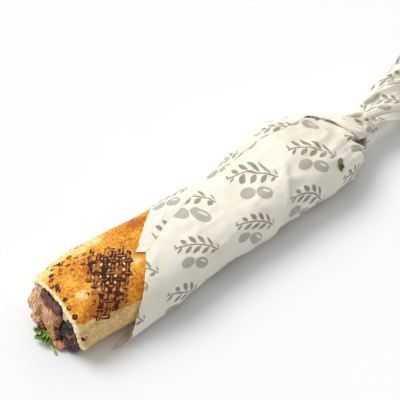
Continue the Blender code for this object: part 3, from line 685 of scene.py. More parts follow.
def bread_paint():
    paint = Paint("flatbread_crust")
    char, pale = paint.field("char"), paint.field("pale")
    fine = paint.grain(1.5, 3, 0.75)
    specks = paint.grain(2.4, 4, 0.8)
    color = paint.blend(fine, 0.40, 0.60, srgb(203, 108, 4), srgb(236, 168, 30))
    light = paint.grain(8.0, 3) + (fine - 0.5)
    color = paint.mix(paint.smooth(light, 0.46, 0.70, 0.0, 0.8), color, srgb(243, 186, 54))
    brown = specks + paint.field("toast") * 0.42 + (paint.grain(5.0, 3) - 0.5) * 0.45
    color = paint.mix(paint.smooth(brown, 0.53, 0.76) * 0.85, color, srgb(174, 86, 8))
    cream = paint.blend(fine, 0.40, 0.62, srgb(250, 226, 160), srgb(230, 178, 82))
    dough = paint.blend(specks, 0.38, 0.64, srgb(232, 202, 140), srgb(204, 160, 94))
    light = paint.mix(paint.field("near"), cream, dough)
    color = paint.blend(pale + (0.5 - fine) * 1.1, 0.20, 0.75, color, light)
    edge = paint.blend(specks, 0.40, 0.65, srgb(252, 236, 194), srgb(228, 184, 112))
    color = paint.mix(paint.field("rim"), color, edge)
    stain = paint.smooth(paint.field("browned") + (specks - 0.5) * 0.9, 0.1, 1.0) * 0.72
    color = paint.mix(stain, color, srgb(168, 98, 30))
    color = paint.mix(paint.field("between") * 0.95, color, srgb(250, 206, 148))
    singed = char + (fine - 0.5) * 0.40
    color = paint.blend(singed, 0.14, 0.42, color, srgb(168, 96, 38))
    color = paint.blend(singed, 0.34, 0.66, color, srgb(56, 20, 2))
    normal = paint.bump(paint.grain(0.7, 2, 0.7), 0.12, paint.bump(fine, 0.30))
    rough = paint.smooth(char, 0.0, 1.0, 0.60, 0.74)
    return paint.set(Base_Color=color, Roughness=rough, Normal=normal, Specular_IOR_Level=0.3)


# ---- The fillings ---------------------------------------------------------------------------------

# The cuts between the fillings, in shares of the cavity's half sizes.
CUT_FAR = ((0.56, 1.0), (0.27, -1.0))
CUT_NEAR = ((-0.36, 1.0), (-0.10, -1.0))
FAR_FLOOR = -0.58
NEAR_FLOOR = -0.56
NEAR_CEILING = 0.55
CUT_HALF_GAP = 0.016
CAVITY_FIT = 0.975
STRAND_COLUMNS = 168
STRAND_HIDDEN_X = (226, 200, 168, 145, 90, 60, 45, 30, 20, 14, 9, 6)
STRAND_STARTS = 4 * MM
STRAND_THINNER = 0.16
TIP_ROWS = 40
TIP_SHRINK = 0.72
TIP_SHRINKS_FROM = 0.6
CAP_ROWS = 12
# The ring whose points say how far across the fibres each column lies.
FIBRE_ROW = 20
LUMP_ROWS = 22
LUMP_COLUMNS = 36
# Out of the mouth the fillings are loose: how far out this starts, and how they bulge, spread and sag.
LOOSE_FROM = 1.6 * MM
LOOSE_OVER = 4 * MM
LOOSE_BUMP = 0.9 * MM
LOOSE_BUMP_SIZE = 5.5 * MM
SPREAD_PER_METRE = 12
DROOP = 0.26
DROOP_BELOW = 20 * MM
SAG = 0.10

# The way the fibres of the two slices run over their cut faces: along them and across them.
FAR_RUN = ((-0.754, -0.257, -0.604), (0.504, -0.816, -0.282))
MIDDLE_RUN = ((-0.170, -0.764, -0.627), (0.894, -0.391, 0.233))

# Each food's deep, pale, streaked and roasted colours as they show on a screen, roughness and gloss.
FOODS = {
    "pale_meat": ((172, 104, 60), (246, 204, 154), (100, 44, 18), (128, 70, 38), 0.42, 0.0),
    # The roasted slice's roasted colour is roast and also painted shade, on its top under the bread's lip.
    "roasted_slice_meat": ((176, 112, 70), (236, 182, 134), (98, 46, 24), (98, 60, 44), 0.40, 0.0),
    "charred_meat": ((98, 44, 20), (168, 98, 60), (20, 8, 4), (30, 14, 7), 0.40, 0.08),
    "cooked_tomato": ((92, 36, 16), (150, 78, 44), (52, 18, 10), (64, 28, 16), 0.30, 0.2),
    # The red onion's roasted colour is painted shade, the dark purple of its near end by the table.
    "red_onion": ((176, 94, 72), (222, 156, 126), (118, 48, 42), (100, 74, 84), 0.34, 0.15),
    "pickled_cucumber": ((176, 172, 118), (226, 222, 186), (64, 62, 26), (60, 56, 26), 0.3, 0.3),
}


def clipped(polygon, point, normal):
    """The part of a convex polygon on the side of a line that its normal points to."""
    kept = []
    for k, here in enumerate(polygon):
        there = polygon[(k + 1) % len(polygon)]
        d_here = float(np.dot(here - point, normal))
        d_there = float(np.dot(there - point, normal))
        if d_here >= 0:
            kept.append(here)
        if (d_here > 0) != (d_there > 0) and d_here != d_there:
            kept.append(here + (there - here) * (d_here / (d_here - d_there)))
    return kept


def region(cuts):
    """The share of the cavity left by cuts, each (point, point, side to keep), with round corners."""
    angles = np.radians(np.arange(0, 360, 2.0))
    outline = np.stack([power(np.cos(angles), ROUND), power(np.sin(angles), ROUND)], axis=1) * CAVITY_FIT
    polygon = list(outline)
    for first, second, side in cuts:
        along = np.array(second) - np.array(first)
        normal = unit(np.array([-along[1], along[0]])) * side
        polygon = clipped(polygon, np.array(first) + normal * CUT_HALF_GAP, normal)
    start = int(np.argmax([p[0] for p in polygon]))
    loop = np.array(polygon[start:] + polygon[:start] + [polygon[start]])
    lengths = walked(loop)
    at = np.linspace(0, lengths[-1], STRAND_COLUMNS, endpoint=False)
    shares = np.stack([np.interp(at, lengths, loop[:, i]) for i in range(2)], axis=1)
    return np.mean([np.roll(shares, k, axis=0) for k in range(-4, 5)], axis=0)


def in_cavity(x, share):
    """Points given as shares of the cavity's half sizes, at distances x from the mouth."""
    x_fit = np.maximum(x, 0.0)
    width, height = half_sizes(x_fit)
    side, up = middle(x_fit)
    lean = MOUTH_LEAN * share[:, 1] * np.clip(1 - x_fit / MOUTH_LEAN_OVER, 0, 1)
    z = up + (height - CAVITY_INSET) * share[:, 1]
    across = side + (width - CAVITY_INSET) * share[:, 0]
    return np.stack([x - lean, across, np.maximum(z, CAVITY_INSET + GAP / 2)], axis=1)


def spilled(points, out):
    """The looser shape of the fillings that are out of the mouth: they droop, spread, are uneven."""
    x, y, z = points.T
    out = np.maximum(0.0, out - LOOSE_FROM)
    droop = DROOP * out * ease(DROOP_BELOW - z, 0.0, 0.8 * DROOP_BELOW)
    fallen = np.stack([x, y * (1 + SPREAD_PER_METRE * out), z - droop - SAG * out], axis=1)
    bumps = np.array([noise.noise_vector(Vector(p) / LOOSE_BUMP_SIZE)[:] for p in points]) * LOOSE_BUMP
    return kept_above(fallen + bumps * np.minimum(1.0, out / LOOSE_OVER)[:, None])


def grid_normals(points):
    """The outward direction at each point of a tube given as rows of closed rings."""
    round_it = np.roll(points, -1, axis=1) - np.roll(points, 1, axis=1)
    normals = unit(np.cross(np.gradient(points, axis=0), round_it))
    outward = points - points.mean(axis=1, keepdims=True)
    turned = np.sign(np.sum(normals * outward, axis=2).mean(axis=1))
    return normals * turned[:, None, None]


def lump(centre, radii, seed):
    """A rough rounded bit of food, as rows of closed rings of points. Its place and size are in mm."""
    tilts = np.linspace(-0.5, 0.5, LUMP_ROWS + 2)[1:-1] * math.pi
    tilt, turn = np.meshgrid(tilts, turns(LUMP_COLUMNS), indexing="ij")
    ball = np.stack([np.cos(tilt) * np.cos(turn), np.cos(tilt) * np.sin(turn), np.sin(tilt)], axis=-1)
    rough = 1 + 0.42 * grain(ball * MM, 0.8, seed) + 0.16 * grain(ball * MM, 0.3, seed + 3)
    return kept_above((np.array(centre) + ball * rough[..., None] * np.array(radii)) * MM)


def strand_rows(cuts, tips, bulge, shift):
    """The rings of a strand's plain form, from its hidden end out to its rounded tip."""
    shares = region(cuts)
    centre = shares.mean(axis=0)
    lowest, highest = shares[:, 1].min(), shares[:, 1].max()
    level = (shares[:, 1] - lowest) / (highest - lowest)
    tip = (tips[0] + (tips[1] - tips[0]) * level) * MM
    rows = []
    for x in STRAND_HIDDEN_X:
        thinner = shares * (1 - STRAND_THINNER * ease(x, 60, 145))
        rows.append(in_cavity(np.full(len(shares), x * MM), thinner))
    for t in np.linspace(0, 1, TIP_ROWS + 1):
        narrowing = max(0.0, (t - TIP_SHRINKS_FROM) / (1 - TIP_SHRINKS_FROM)) ** 2
        shrink = 1 - (1 - TIP_SHRINK) * narrowing
        x = STRAND_STARTS + (tip - STRAND_STARTS) * t
        row = spilled(in_cavity(x, centre + (shares - centre) * shrink), -x)
        if shift:
            row = kept_above(row + shift(-x / MM, row) * MM)
        rows.append(row)
    last = rows[-1]
    hub = last.mean(axis=0)
    for turn in np.linspace(0, math.pi / 2, CAP_ROWS + 1)[1:-1]:
        ring = hub + (last - hub) * math.cos(turn)
        ring[:, 0] -= bulge * MM * math.sin(turn)
        rows.append(ring)
    return np.array(rows)


def fibre_places(points, run):
    """Where the points lie along the fibres and across them. run holds those directions, if any."""
    if run:
        return points @ np.array(run[0]), points @ np.array(run[1])
    along = walked(points)
    ring = points[FIBRE_ROW]
    across = np.linalg.norm(np.roll(ring, -1, axis=0) - ring, axis=1).cumsum()
    return along, np.broadcast_to(across, along.shape)


def strand(name, node, food, cuts, tips, relief, tones, run=None, shift=None, bulge=1.5, bits=()):
    """A filling that runs the length of the roll and shows at the mouth.

    tips says where its end is, at its lowest and at its highest point, in mm from the mouth. relief
    gives its roughness and tones how roasted it is, and on the onion and the middle slice its painted
    shade, both from its points and the place along and across its fibres. run holds the directions
    along and across them, shift moves the part out of the mouth, and bits are loose lumps that lie by it.
    """
    points = strand_rows(cuts, tips, bulge, shift)
    along, across = fibre_places(points, run)
    shown = ease(points[..., 0], 11 * MM, 5 * MM)
    at_tip = np.zeros(along.shape)
    at_tip[-CAP_ROWS:] = np.linspace(0, 1, CAP_ROWS)[:, None]
    raised = relief(points, along, across) * shown * (1 - at_tip**4)
    points = kept_above(points + grid_normals(points) * raised[..., None])
    solids = [(points, along, across)]
    for bit in bits:
        rings = lump(*bit)
        solids.append((rings, rings[..., 0] + rings[..., 2], rings[..., 1]))
    piece = Piece(name)
    for rings, along, across in solids:
        fields = {"along": along / MM, "round": across / MM, "roast": tones(rings, along, across)}
        for field, values in fields.items():
            fields[field] = np.concatenate([values.ravel(), [values[0].mean(), values[-1].mean()]])
        piece.add(*closed_tube(rings), **fields)
    piece.finish(strand_paint(food), [node])


def on_strand(along, across):
    """A place on a strand's surface, for noise that is drawn out along its fibres."""
    return np.stack([along, across, np.zeros(along.shape)], axis=-1)


def sliced_relief(points, along, across):
    place = on_strand(along, across)
    torn = 0.16 - np.abs(grain(place, (13, 2.6, 1), 3.0))
    strips = grain(place, (8, 1.3, 1), 5.0) * 0.42
    fine = grain(place, (4, 0.7, 1), 8.0) * 0.20
    lumps = grain(points, 6.0, 2.0) * 0.9 + grain(points, 2.2, 5.0) * 0.25
    return (2.6 * np.minimum(torn, 0.1) + strips + fine + lumps - 0.35) * MM


def chunky_relief(points, along, across):
    chunks = 0.75 - np.abs(grain(points, 6.0, 1.7)) * 4.6
    crust = grain(points, 2.0, 4.0) * 0.55 + grain(points, 1.0, 9.0) * 0.30
    return (np.maximum(chunks, -1.3) + crust - 0.6) * MM


def soft_relief(points, along, across):
    folds = 0.2 - np.abs(grain(on_strand(along, across), (9, 2.8, 1), 6.0)) * 1.6
    return (folds + grain(points, 2.4, 3.0) * 0.35 - 0.25) * MM


def no_roast(points, along, across):
    return 0.06 + grain(points, 3.0, 2.0) * 0.5


def top_roast(points, along, across):
    """The middle slice's roasted edge, which lies uppermost and along its near side; darker by height,
    it is roast and painted shade under the bread's lip.
    """
    wander = grain(points, 4.0, 3.0) * 3.0 + grain(on_strand(along, across), (7, 1.2, 1)) * 2.0
    return ease((points[..., 2] - 0.15 * points[..., 1]) / MM + wander, 26.5, 32.5)


def dark_ends(points, along, across):
    """The pickle is pale in its middle, and dark green and brown towards its ends."""
    off_middle = points[..., 1] / MM + 12.5 + grain(points, 3.0, 4.0) * 2.0
    return ease(np.abs(off_middle), 2.0, 4.0)


def charred(points, along, across):
    return ease(0.80 + grain(points, 3.4, 1.0) * 0.8 + grain(points, 1.5, 6.0) * 0.5, 0.40, 0.8)


def shaded_end(points, along, across):
    """The bottom strand is pale red at its far side and dark purple at its near side, which is painted
    shade where it lies by the table.
    """
    return ease(-points[..., 1] / MM + grain(points, 3.5, 4.0) * 3.0, 12.0, 18.0)


def scaled(color, factor):
    return tuple(np.minimum(np.array(color) * factor, 1))


def strand_paint(food):
    """Fibrous food: deep and pale fibres, painted glints, dark streaks, and the colour it takes where it
    is roasted, which on the onion is painted shade and on the middle slice's top both roast and
    painted shade.
    """
    paint = Paint(food)
    deep, pale, streak, roast = (srgb(*color) for color in FOODS[food][:4])
    rough, gloss = FOODS[food][4:]
    fibre = paint.fibres(7.0, 0.9)
    thin = paint.fibres(3.6, 0.55, 4.0)
    blotch = paint.grain(3.0, 3)
    color = paint.blend(fibre, 0.36, 0.62, deep, pale)
    # glint: painted highlights, paler spots along the thin fibres.
    glint = paint.smooth(thin, 0.50, 0.40) * paint.smooth(blotch, 0.40, 0.60)
    color = paint.mix(glint * 0.6, color, scaled(pale, 1.35))
    marks = paint.smooth(thin, 0.54, 0.64) * paint.smooth(blotch, 0.60, 0.44)
    color = paint.mix(marks * 0.85, color, streak)
    # The roasted colour: on the onion it is painted shade, and on the middle slice's top roast and painted
    # shade.
    burnt = paint.blend(thin, 0.40, 0.62, scaled(roast, 1.5), scaled(roast, 0.5))
    color = paint.blend(paint.field("roast") + (fibre - 0.5) * 0.9, 0.2, 0.7, color, burnt)
    return paint.set(
        Base_Color=color,
        Roughness=paint.smooth(blotch, 0.3, 0.7, rough, rough + 0.15),
        Normal=paint.bump(thin, 0.22, paint.bump(paint.grain(1.0, 3), 0.20)),
        Coat_Weight=gloss,
        Coat_Roughness=0.25,
        Subsurface_Weight=0.08,
        Subsurface_Radius=(1.0, 0.4, 0.25),
        Subsurface_Scale=1.0 * MM,
    )


def over_lip(out, points):
    """The middle slice bulges up over the mouth's lip, and its lower end hangs down."""
    z = points[:, 2] / MM
    top = ease(out, -1.5, 2.4) * ease(z, 24, 36)
    down = -2.6 * ease(out, 3, 11) * ease(z, 26, 10)
    return np.stack([-1.2 * top, -2.3 * top, 6.5 * top + down], axis=-1)


def leaning(out, points):
    """The far slice's upper edge slumps forwards and down."""
    top = ease(out, -1, 4) * ease(points[:, 2] / MM, 20, 38)
    return np.stack([-1.0 * top, -0.6 * top, -2.6 * top], axis=-1)


def sagging(out, points):
    """The strip of onion hangs down flat onto the table."""
    z = points[:, 2] / MM
    return np.stack([0 * z, 0.6 * ease(out, 2, 12), -0.62 * z * ease(out, -1, 8)], axis=-1)


def to_near_side(out, points):
    """The tomato slips towards the middle, below the slices."""
    slip = ease(out, 1, 10)
    return np.stack([0 * slip, -4.0 * slip, -1.0 * slip], axis=-1)


def over(height):
    """The cut that keeps what is above a height in the cavity."""
    return (-1.0, height), (1.0, height), 1


def under(height):
    """The cut that keeps what is below a height in the cavity."""
    return (-1.0, height), (1.0, height), -1


def add_fillings():
    far_side, not_far = (*CUT_FAR, 1), (*CUT_FAR, -1)
    near_side, not_near = (*CUT_NEAR, -1), (*CUT_NEAR, 1)
    strand(
        "far_meat_slice", "meat_far_slice", "pale_meat",
        [far_side, over(FAR_FLOOR)], (-12.0, -2.0), sliced_relief, no_roast, FAR_RUN, leaning,
        bits=[((-10.5, 14, 9), (3.4, 4.6, 3.2), 3.1)],
    )
    strand(
        "middle_meat_slice", "meat_middle_slice", "roasted_slice_meat",
        [not_far, not_near], (-12.0, -4.6), sliced_relief, top_roast, MIDDLE_RUN, over_lip,
        bits=[((-8.5, -3.5, 5.5), (3.2, 2.6, 4.4), 5.2), ((-7.0, 0.5, 13), (3.0, 3.0, 5.0), 9.6)],
    )
    strand(
        "tomato_piece", "tomato_strip", "cooked_tomato",
        [far_side, under(FAR_FLOOR)], (-12.5, -12.0), chunky_relief, no_roast, shift=to_near_side,
        bits=[((-11.2, 7.6, 7.4), (2.6, 2.6, 2.8), 2.2)],
    )
    strand(
        "charred_chunks", "roasted_meat", "charred_meat",
        [near_side, over(NEAR_FLOOR), under(NEAR_CEILING)], (-9.0, -2.4), chunky_relief, charred,
        bits=[
            # The first lump lies low between the slices and the table: a near-black charred lump put there as
            # painted shade for the dark gap.
            ((-7.0, 2.5, 5.6), (4.2, 3.4, 4.6), 1.3), ((-6.5, -8.0, 10.0), (3.4, 3.2, 3.6), 4.7),
            ((-5.6, -15.0, 9.5), (3.0, 3.2, 3.4), 8.9), ((-4.2, -13.0, 16.5), (2.6, 2.6, 3.0), 6.1),
            ((-6.5, -3.6, 5.4), (3.0, 2.8, 3.4), 12.7),
        ],
    )
    strand(
        "onion_slice", "onion_strip", "red_onion",
        [near_side, under(NEAR_FLOOR)], (-11.0, -7.5), soft_relief, shaded_end, shift=sagging,
        bits=[((-10.6, -8.2, 2.6), (2.2, 4.2, 1.9), 3.4), ((-8.0, -11.6, 3.4), (2.4, 3.6, 2.2), 7.4)],
    )
    strand(
        "pickle_slice", "pickle_strip", "pickled_cucumber",
        [near_side, over(NEAR_CEILING)], (-3.4, -2.2), soft_relief, dark_ends, bulge=0.6,
    )


# ---- The herbs ------------------------------------------------------------------------------------

STALK = [(-12.6, 6.5, 4.6), (-12.7, 3.0, 3.2), (-13.0, -1.5, 1.9), (-13.8, -7.0, 1.4), (-14.9, -13.6, 1.3)]
STALK_RADIUS = 0.78
# The thin stems leave the stalk at one point and bend towards a leaflet's root by way of another.
STEMS_FROM = (-12.8, 1.6, 2.6)
STEMS_BY = (-12.8, 2.6, 3.4)
STEM_RADIUS = 0.3
STEM_IN_LEAF = 1.5
STEM_ROWS = 30
STEM_SIDES = 10
STEM_PALE = 0.85
# The leaflets: length, width, root, heading, pitch and roll, in mm and degrees.
LEAFLETS = [
    (5.8, 5.6, (-13.0, 5.5, 4.6), 116, 14, 20),
    (4.7, 4.4, (-14.2, 7.4, 5.0), 96, 8, 34),
    (4.5, 4.4, (-12.8, 7.6, 4.6), 150, 22, -20),
    (5.3, 5.3, (-12.6, 4.0, 4.2), 188, 8, -25),
    (4.4, 4.1, (-14.4, 3.4, 4.2), 214, 16, 18),
    (4.1, 4.4, (-15.0, 4.4, 3.8), 160, 4, -30),
    (5.0, 5.0, (-12.7, 1.8, 3.5), 224, 6, 30),
    (4.1, 4.1, (-13.6, 0.6, 3.0), 250, 12, -16),
    (4.7, 4.7, (-12.4, 3.4, 4.0), 62, 16, -20),
    (4.7, 4.5, (-12.6, -0.4, 3.0), -24, 14, 15),
    (3.7, 3.7, (-12.9, -1.2, 2.8), 196, 20, 22),
    (3.9, 4.1, (-12.4, 1.4, 4.2), 40, 34, -10),
]
LEAF_ROWS = 7
LEAF_COLUMNS = 48
LEAF_HEART = 0.42
LEAF_SHEET = 0.22 * MM
LEAVES_MOVED = (-0.9, -1.8, 1.0)
SPRIG_LOWEST = 0.15 * MM

# Flecks of dried herb on the bread and the paper: distance from the mouth, angle round, length.
FLECKS = [
    (3.4, 26, 2.0), (30.5, 29, 1.9), (37.2, 13, 1.8), (48.9, 46, 1.3), (67.8, 11, 1.4),
    (22.0, 83, 1.0), (41.0, 52, 0.9), (52.5, 70, 1.0), (33.0, 148, 1.0), (11.0, 158, 1.1),
]
FLECK_CORNERS = 8
FLECK_INSET = BREAD_INSET - 0.28 * MM
FLECK_SHEET = 0.15 * MM

# The scrap of wilted leaf on the paper: its place, its length and width in mm, and its points.
SCRAP_X = 222 * MM
SCRAP_ANGLE = math.radians(150)
SCRAP_SIZE = (9.6, 4.8)
SCRAP_OUT = 0.35 * MM
SCRAP_GRID = (34, 16)
SCRAP_SHEET = 0.2 * MM


def leaflet(length, width, root, heading, pitch, roll, seed):
    """One curly toothed leaflet as rings of points from its heart out, in mm, and where it is pale."""
    angle = turns(LEAF_COLUMNS)[None, :]
    out = np.linspace(0, 1, LEAF_ROWS + 1)[1:, None]
    lobes = 0.88 + 0.22 * np.cos(3 * angle) + 0.07 * np.cos(9 * angle + seed)
    x = length * (LEAF_HEART + 0.56 * out * np.cos(angle) * lobes)
    y = width * 0.56 * out * np.sin(angle) * lobes
    ruffle = np.sin(3 * angle + seed * 2.1) + 0.7 * np.sin(5 * angle + seed)
    z = length * (0.15 * out**2 * ruffle + 0.10 * np.abs(y / width) - 0.09 * (x / length) ** 2)
    points = np.stack(np.broadcast_arrays(x, y, z), axis=-1).reshape(-1, 3)
    points = np.concatenate([points, [(length * LEAF_HEART, 0, 0)]])
    turn = Matrix.Identity(3)
    for degrees, axis in ((heading, "Z"), (-pitch, "Y"), (roll, "X")):
        turn = turn @ Matrix.Rotation(math.radians(degrees), 3, axis)
    pale = 0.5 + 0.5 * np.broadcast_to(np.cos(angle * 3) * out, (LEAF_ROWS, LEAF_COLUMNS))
    return points @ np.array(turn).T + np.array(root), np.concatenate([pale.ravel(), [1.0]])


def tube(path, radius):
    """Rings of points round a smooth path, in mm, thinner at both ends."""
    path = np.array(path)
    at = np.linspace(0, len(path) - 1, STEM_ROWS)
    line = np.stack([smooth_curve(at, np.arange(len(path)), path[:, i]) for i in range(3)], axis=1)
    ahead = unit(np.gradient(line, axis=0))
    across = unit(np.cross(ahead, (0, 0, 1)))
    up = np.cross(across, ahead)
    turn = turns(STEM_SIDES)[None, :, None]
    size = radius * (0.78 + 0.22 * np.sin(at * 2.2)) * np.minimum(1, 0.4 + np.minimum(at, at[::-1]) * 6)
    ring = across[:, None] * np.cos(turn) + up[:, None] * np.sin(turn)
    return line[:, None] + ring * size[:, None, None]


def herb_paint(name, bright, deep):
    paint = Paint(name)
    fine = paint.grain(1.0, 3)
    color = paint.blend(paint.field("pale") + (fine - 0.5) * 1.2, 0.2, 0.95, deep, bright)
    normal = paint.bump(fine, 0.2)
    return paint.set(
        Base_Color=color, Roughness=0.42, Normal=normal, Subsurface_Weight=0.2, Subsurface_Scale=0.6 * MM
    )


def add_parsley():
    piece = Piece("curly_parsley")
    faces = grid_faces(LEAF_ROWS, LEAF_COLUMNS, closed=True)
    faces += fan_faces(range(LEAF_COLUMNS), LEAF_ROWS * LEAF_COLUMNS)
    for seed, leaf in enumerate(LEAFLETS):
        placed, pale = leaflet(*leaf, seed * 1.7)
        piece.add(kept_above((placed + LEAVES_MOVED) * MM, SPRIG_LOWEST), faces, pale=pale)
    stems = [(STALK, STALK_RADIUS)]
    for _, _, root, heading, _, _ in LEAFLETS[::3]:
        ahead = np.array((math.cos(math.radians(heading)), math.sin(math.radians(heading)), 0))
        bend = (np.array(root) + STEMS_BY) / 2
        stems.append(([STEMS_FROM, bend, root, root + STEM_IN_LEAF * ahead], STEM_RADIUS))
    for path, radius in stems:
        points, faces = closed_tube(tube(path, radius) * MM)
        piece.add(kept_above(points, SPRIG_LOWEST), faces, pale=np.full(len(points), STEM_PALE))
    paint = herb_paint("parsley", srgb(156, 194, 70), srgb(30, 66, 12))
    piece.finish(paint, ["parsley_sprig"], LEAF_SHEET)


def add_flecks():
    piece = Piece("herb_flecks")
    faces = fan_faces(range(1, FLECK_CORNERS + 1), 0)
    for k, (x, degrees, length) in enumerate(FLECKS):
        at, beside = skin(np.array([x, x]) * MM, np.radians([degrees, degrees + 2]), FLECK_INSET)
        right = unit(beside - at)
        along = np.array((1, 0, 0))
        normal = np.cross(right, along)
        ahead = right * math.cos(k * 1.9) + along * math.sin(k * 1.9)
        side = np.cross(normal, ahead)
        points = [at + normal * 0.12 * MM]
        for corner, spin in enumerate(turns(FLECK_CORNERS)):
            reach = (0.8 + 0.3 * math.sin(corner * 2.4 + k)) * length * MM / 2
            lift = 0.16 * math.sin(corner * 1.9 + k) * MM
            out = ahead * math.cos(spin) + side * math.sin(spin) * 0.5
            points.append(at + out * reach + normal * lift)
        piece.add(points, faces, pale=np.linspace(0, 0.5, FLECK_CORNERS + 1))
    piece.finish(herb_paint("dried_herb", srgb(120, 126, 62), srgb(48, 56, 22)), (), FLECK_SHEET)


def add_herb_scrap():
    """The scrap of wilted leaf that sticks to the paper near its gathered end."""
    x, angle = np.full(2, SCRAP_X), SCRAP_ANGLE + np.array((0.0, 0.05))
    at, beside = skin(x, angle, pressed(x, angle) - SCRAP_OUT)
    down = unit(unit(beside - at) + (-0.5, 0, 0))
    normal = unit(np.cross(down, (1.0, 0, 0)))
    across = np.cross(normal, down)
    u = np.linspace(-1, 1, SCRAP_GRID[0])[:, None]
    v = np.linspace(-1, 1, SCRAP_GRID[1])[None, :]
    half = SCRAP_SIZE[1] / 2 * (1 - 0.75 * u**4) * (1 + 0.18 * np.sin(7 * u) + 0.1 * np.sin(17 * u + 1))
    length = SCRAP_SIZE[0] / 2 * u + 0.3 * np.sin(3 * v)
    width = half * v + 0.4 * np.sin(2.2 * u)
    lift = 0.30 + 0.16 * np.sin(6 * u + 2 * v) + 0.28 * np.abs(v) ** 3 * np.sin(5 * u) + 0.10 * np.abs(v)
    moves = np.stack([length, width, np.maximum(lift, 0.1)], axis=-1) * MM
    pale = 0.9 - 1.1 * hump(u, 0.25, 0.35) * hump(v, 0.1, 0.6)
    piece = Piece("herb_scrap")
    piece.add(at + moves @ np.array([down, across, normal]), grid_faces(*SCRAP_GRID), pale=pale)
    paint = herb_paint("wilted_leaf", srgb(140, 142, 70), srgb(46, 54, 14))
    piece.finish(paint, ["herb_on_wrap"], SCRAP_SHEET)


# ---- The wrap -------------------------------------------------------------------------------------

# Front edge of the sheet: angle round the roll, counted on from its lap, and distance from the mouth.
FRONT_EDGE = np.array([
    (62, 92), (80, 84), (91, 72), (97, 64), (101, 61.5), (125, 51.5), (145, 45.4), (165, 40.4),
    (190, 33), (200, 28.5), (207, 25.2), (211, 23.6), (216, 26), (226, 33), (250, 44), (285, 66),
    (330, 96), (378, 95.4), (393, 94), (405, 92.3), (415, 89.2), (424, 84.9), (431.5, 79.3),
    (436.5, 74.7), (439.5, 71.3), (442, 67.7), (445, 62.3), (450, 59.2), (456, 56),
])
FRONT_DONE_X = 108 * MM
FRONT_ROWS = 52
FLAP_ANGLE = math.radians(212)
FLAP_SPREAD = math.radians(20)
FLAP_LIFT = 9.5 * MM

# The sheet's outer edge lies along the roll as a lap: distance from the mouth and angle round it.
LAP = np.array([
    (56.5, 95), (61.8, 100.5), (66, 99), (95, 84), (120, 72), (150, 62), (170, 60), (183, 66),
    (195, 72), (207, 73), (217, 68), (226, 63.5), (234, 62), (240, 67), (244, 78), (247, 92),
    (249, 106), (251, 120), (256, 140), (262, 156), (270, 172), (276, 184),
])
LAP_STARTS = 56.5 * MM
LAP_FOLLOWED = 0.25
SWEEP = 2 * math.pi + math.radians(34)
HEM = 13 * MM
HEM_STEP = 0.40 * MM
SHEET_STEP = 1.05 * MM
SHEET = 0.16 * MM
SHEET_WIDTH = 198 * MM
# How far in the sheet's layers lie: shares of its width from its outer edge on, and depths in mm.
LAYERS = ((0, 0.06, 0.85, 0.90, 1), (0.05, 0.08, 0.16, 0.27, 0.30))
MERGED = 0.30 * MM

# The sheet's edge is folded over in strips, whose width is in mm.
FOLD_WIDTH = 4.6
FOLD_STEP = 1.4 * MM
FOLD_COUNT = 3
# The dark pocket by the strips, at angles round the roll: it starts on a straight line from the first
# angle to the last, and ends at a distance for each angle.
POCKET_ANGLES = (118, 150, 172)
POCKET_FROM = (245.5, 258)
POCKET_TO = (245.5, 261.5, 258)
POCKET_DEPTH = 4.2 * MM
POCKET_LIP = 1.5 * MM
# The pinched folds on top of the neck: one at a distance for each angle, one at an angle for each
# distance.
TUCK = ((48, 75, 85, 93), (259.5, 263.5, 266.5, 269.5))
REAR_TUCK = ((278, 283, 289, 294, 298), (58, 61.5, 65.6, 63.6, 62))

PLEATS = 7
SMALL_PLEATS = 23
PLEAT_START_X = 222 * MM
PLEAT_DEPTH = 1.5 * MM
PLEAT_RISING = 0.72
PLEAT_LEAN = 0.9
TAIL_ROWS = 62
TAIL_LENGTH = 74 * MM
TAIL_YAW = math.radians(11)
TAIL_TURNED_AT = 0.45
TAIL_END_Z = 25 * MM
TAIL_END_HALF = (23 * MM, 12 * MM)
TAIL_ROLL = math.radians(78)
TAIL_ROLLED_AT = 0.7
TAIL_OPEN_AT = 0.6
TAIL_OPENING = (0.85, 0.7)
TAIL_PLEAT = 0.15
NECK_TURN = math.radians(110)
# The plug of crushed folds starts at this share of the tail's length.
PLUG_FROM = 0.45
PLUG_ROWS = 22
PLUG_COLUMNS = 121

# Grease on the paper near its gathered end and by the fold.
STAINS = [
    (0.9, 264, 6, 95, 17), (0.5, 153, 1.8, 149, 4), (0.35, 228, 22, 100, 22), (0.35, 185, 20, 58, 10),
    (1.6, 151, 0.7, 145.5, 1.4),
]


def pleat_wave(turns_round, rising=PLEAT_RISING):
    """A row of leaning folds, from -1 in a valley to 1 on a crest."""
    place = turns_round % 1.0
    up = 2 * place / rising - 1
    down = 2 * (1 - place) / (1 - rising) - 1
    return np.where(place < rising, up, down)


def big_pleats(q, drift=0.0):
    """The pleats at shares q of the sheet's width."""
    return pleat_wave((NECK_TURN - SWEEP * q) * PLEATS / (2 * math.pi) + drift)


def small_pleats(q, drift=0.0):
    return pleat_wave(q * SMALL_PLEATS + 0.35 * np.sin(q * 31) + drift, 0.6)


def lap_angle(x):
    """The angle at which the sheet's outer edge lies, at a distance x from the mouth."""
    return np.radians(np.interp(x / MM, LAP[:, 0], LAP[:, 1]))


def tail_frame(t):
    """Middle and the two cross directions of the tail, t from 0 at the neck to 1 at its end."""
    yaw = TAIL_YAW * ease(t, 0.0, TAIL_TURNED_AT)
    reach = TAIL_LENGTH * t
    side = middle(NECK_X)[0] + reach * math.sin(TAIL_YAW) * ease(t, -TAIL_TURNED_AT, 1.0)
    z = NECK_Z + (TAIL_END_Z - NECK_Z) * t
    centre = np.stack([NECK_X + reach * math.cos(TAIL_YAW), side, z], axis=-1)
    across = np.stack([-np.sin(yaw), np.cos(yaw), 0 * yaw], axis=-1)
    up = np.array([0.0, 0.0, 1.0])
    roll = (TAIL_ROLL * ease(t, 0.0, TAIL_ROLLED_AT))[..., None]
    long_way = across * np.cos(roll) + up * np.sin(roll)
    short_way = -across * np.sin(roll) + up * np.cos(roll)
    return centre, long_way, short_way


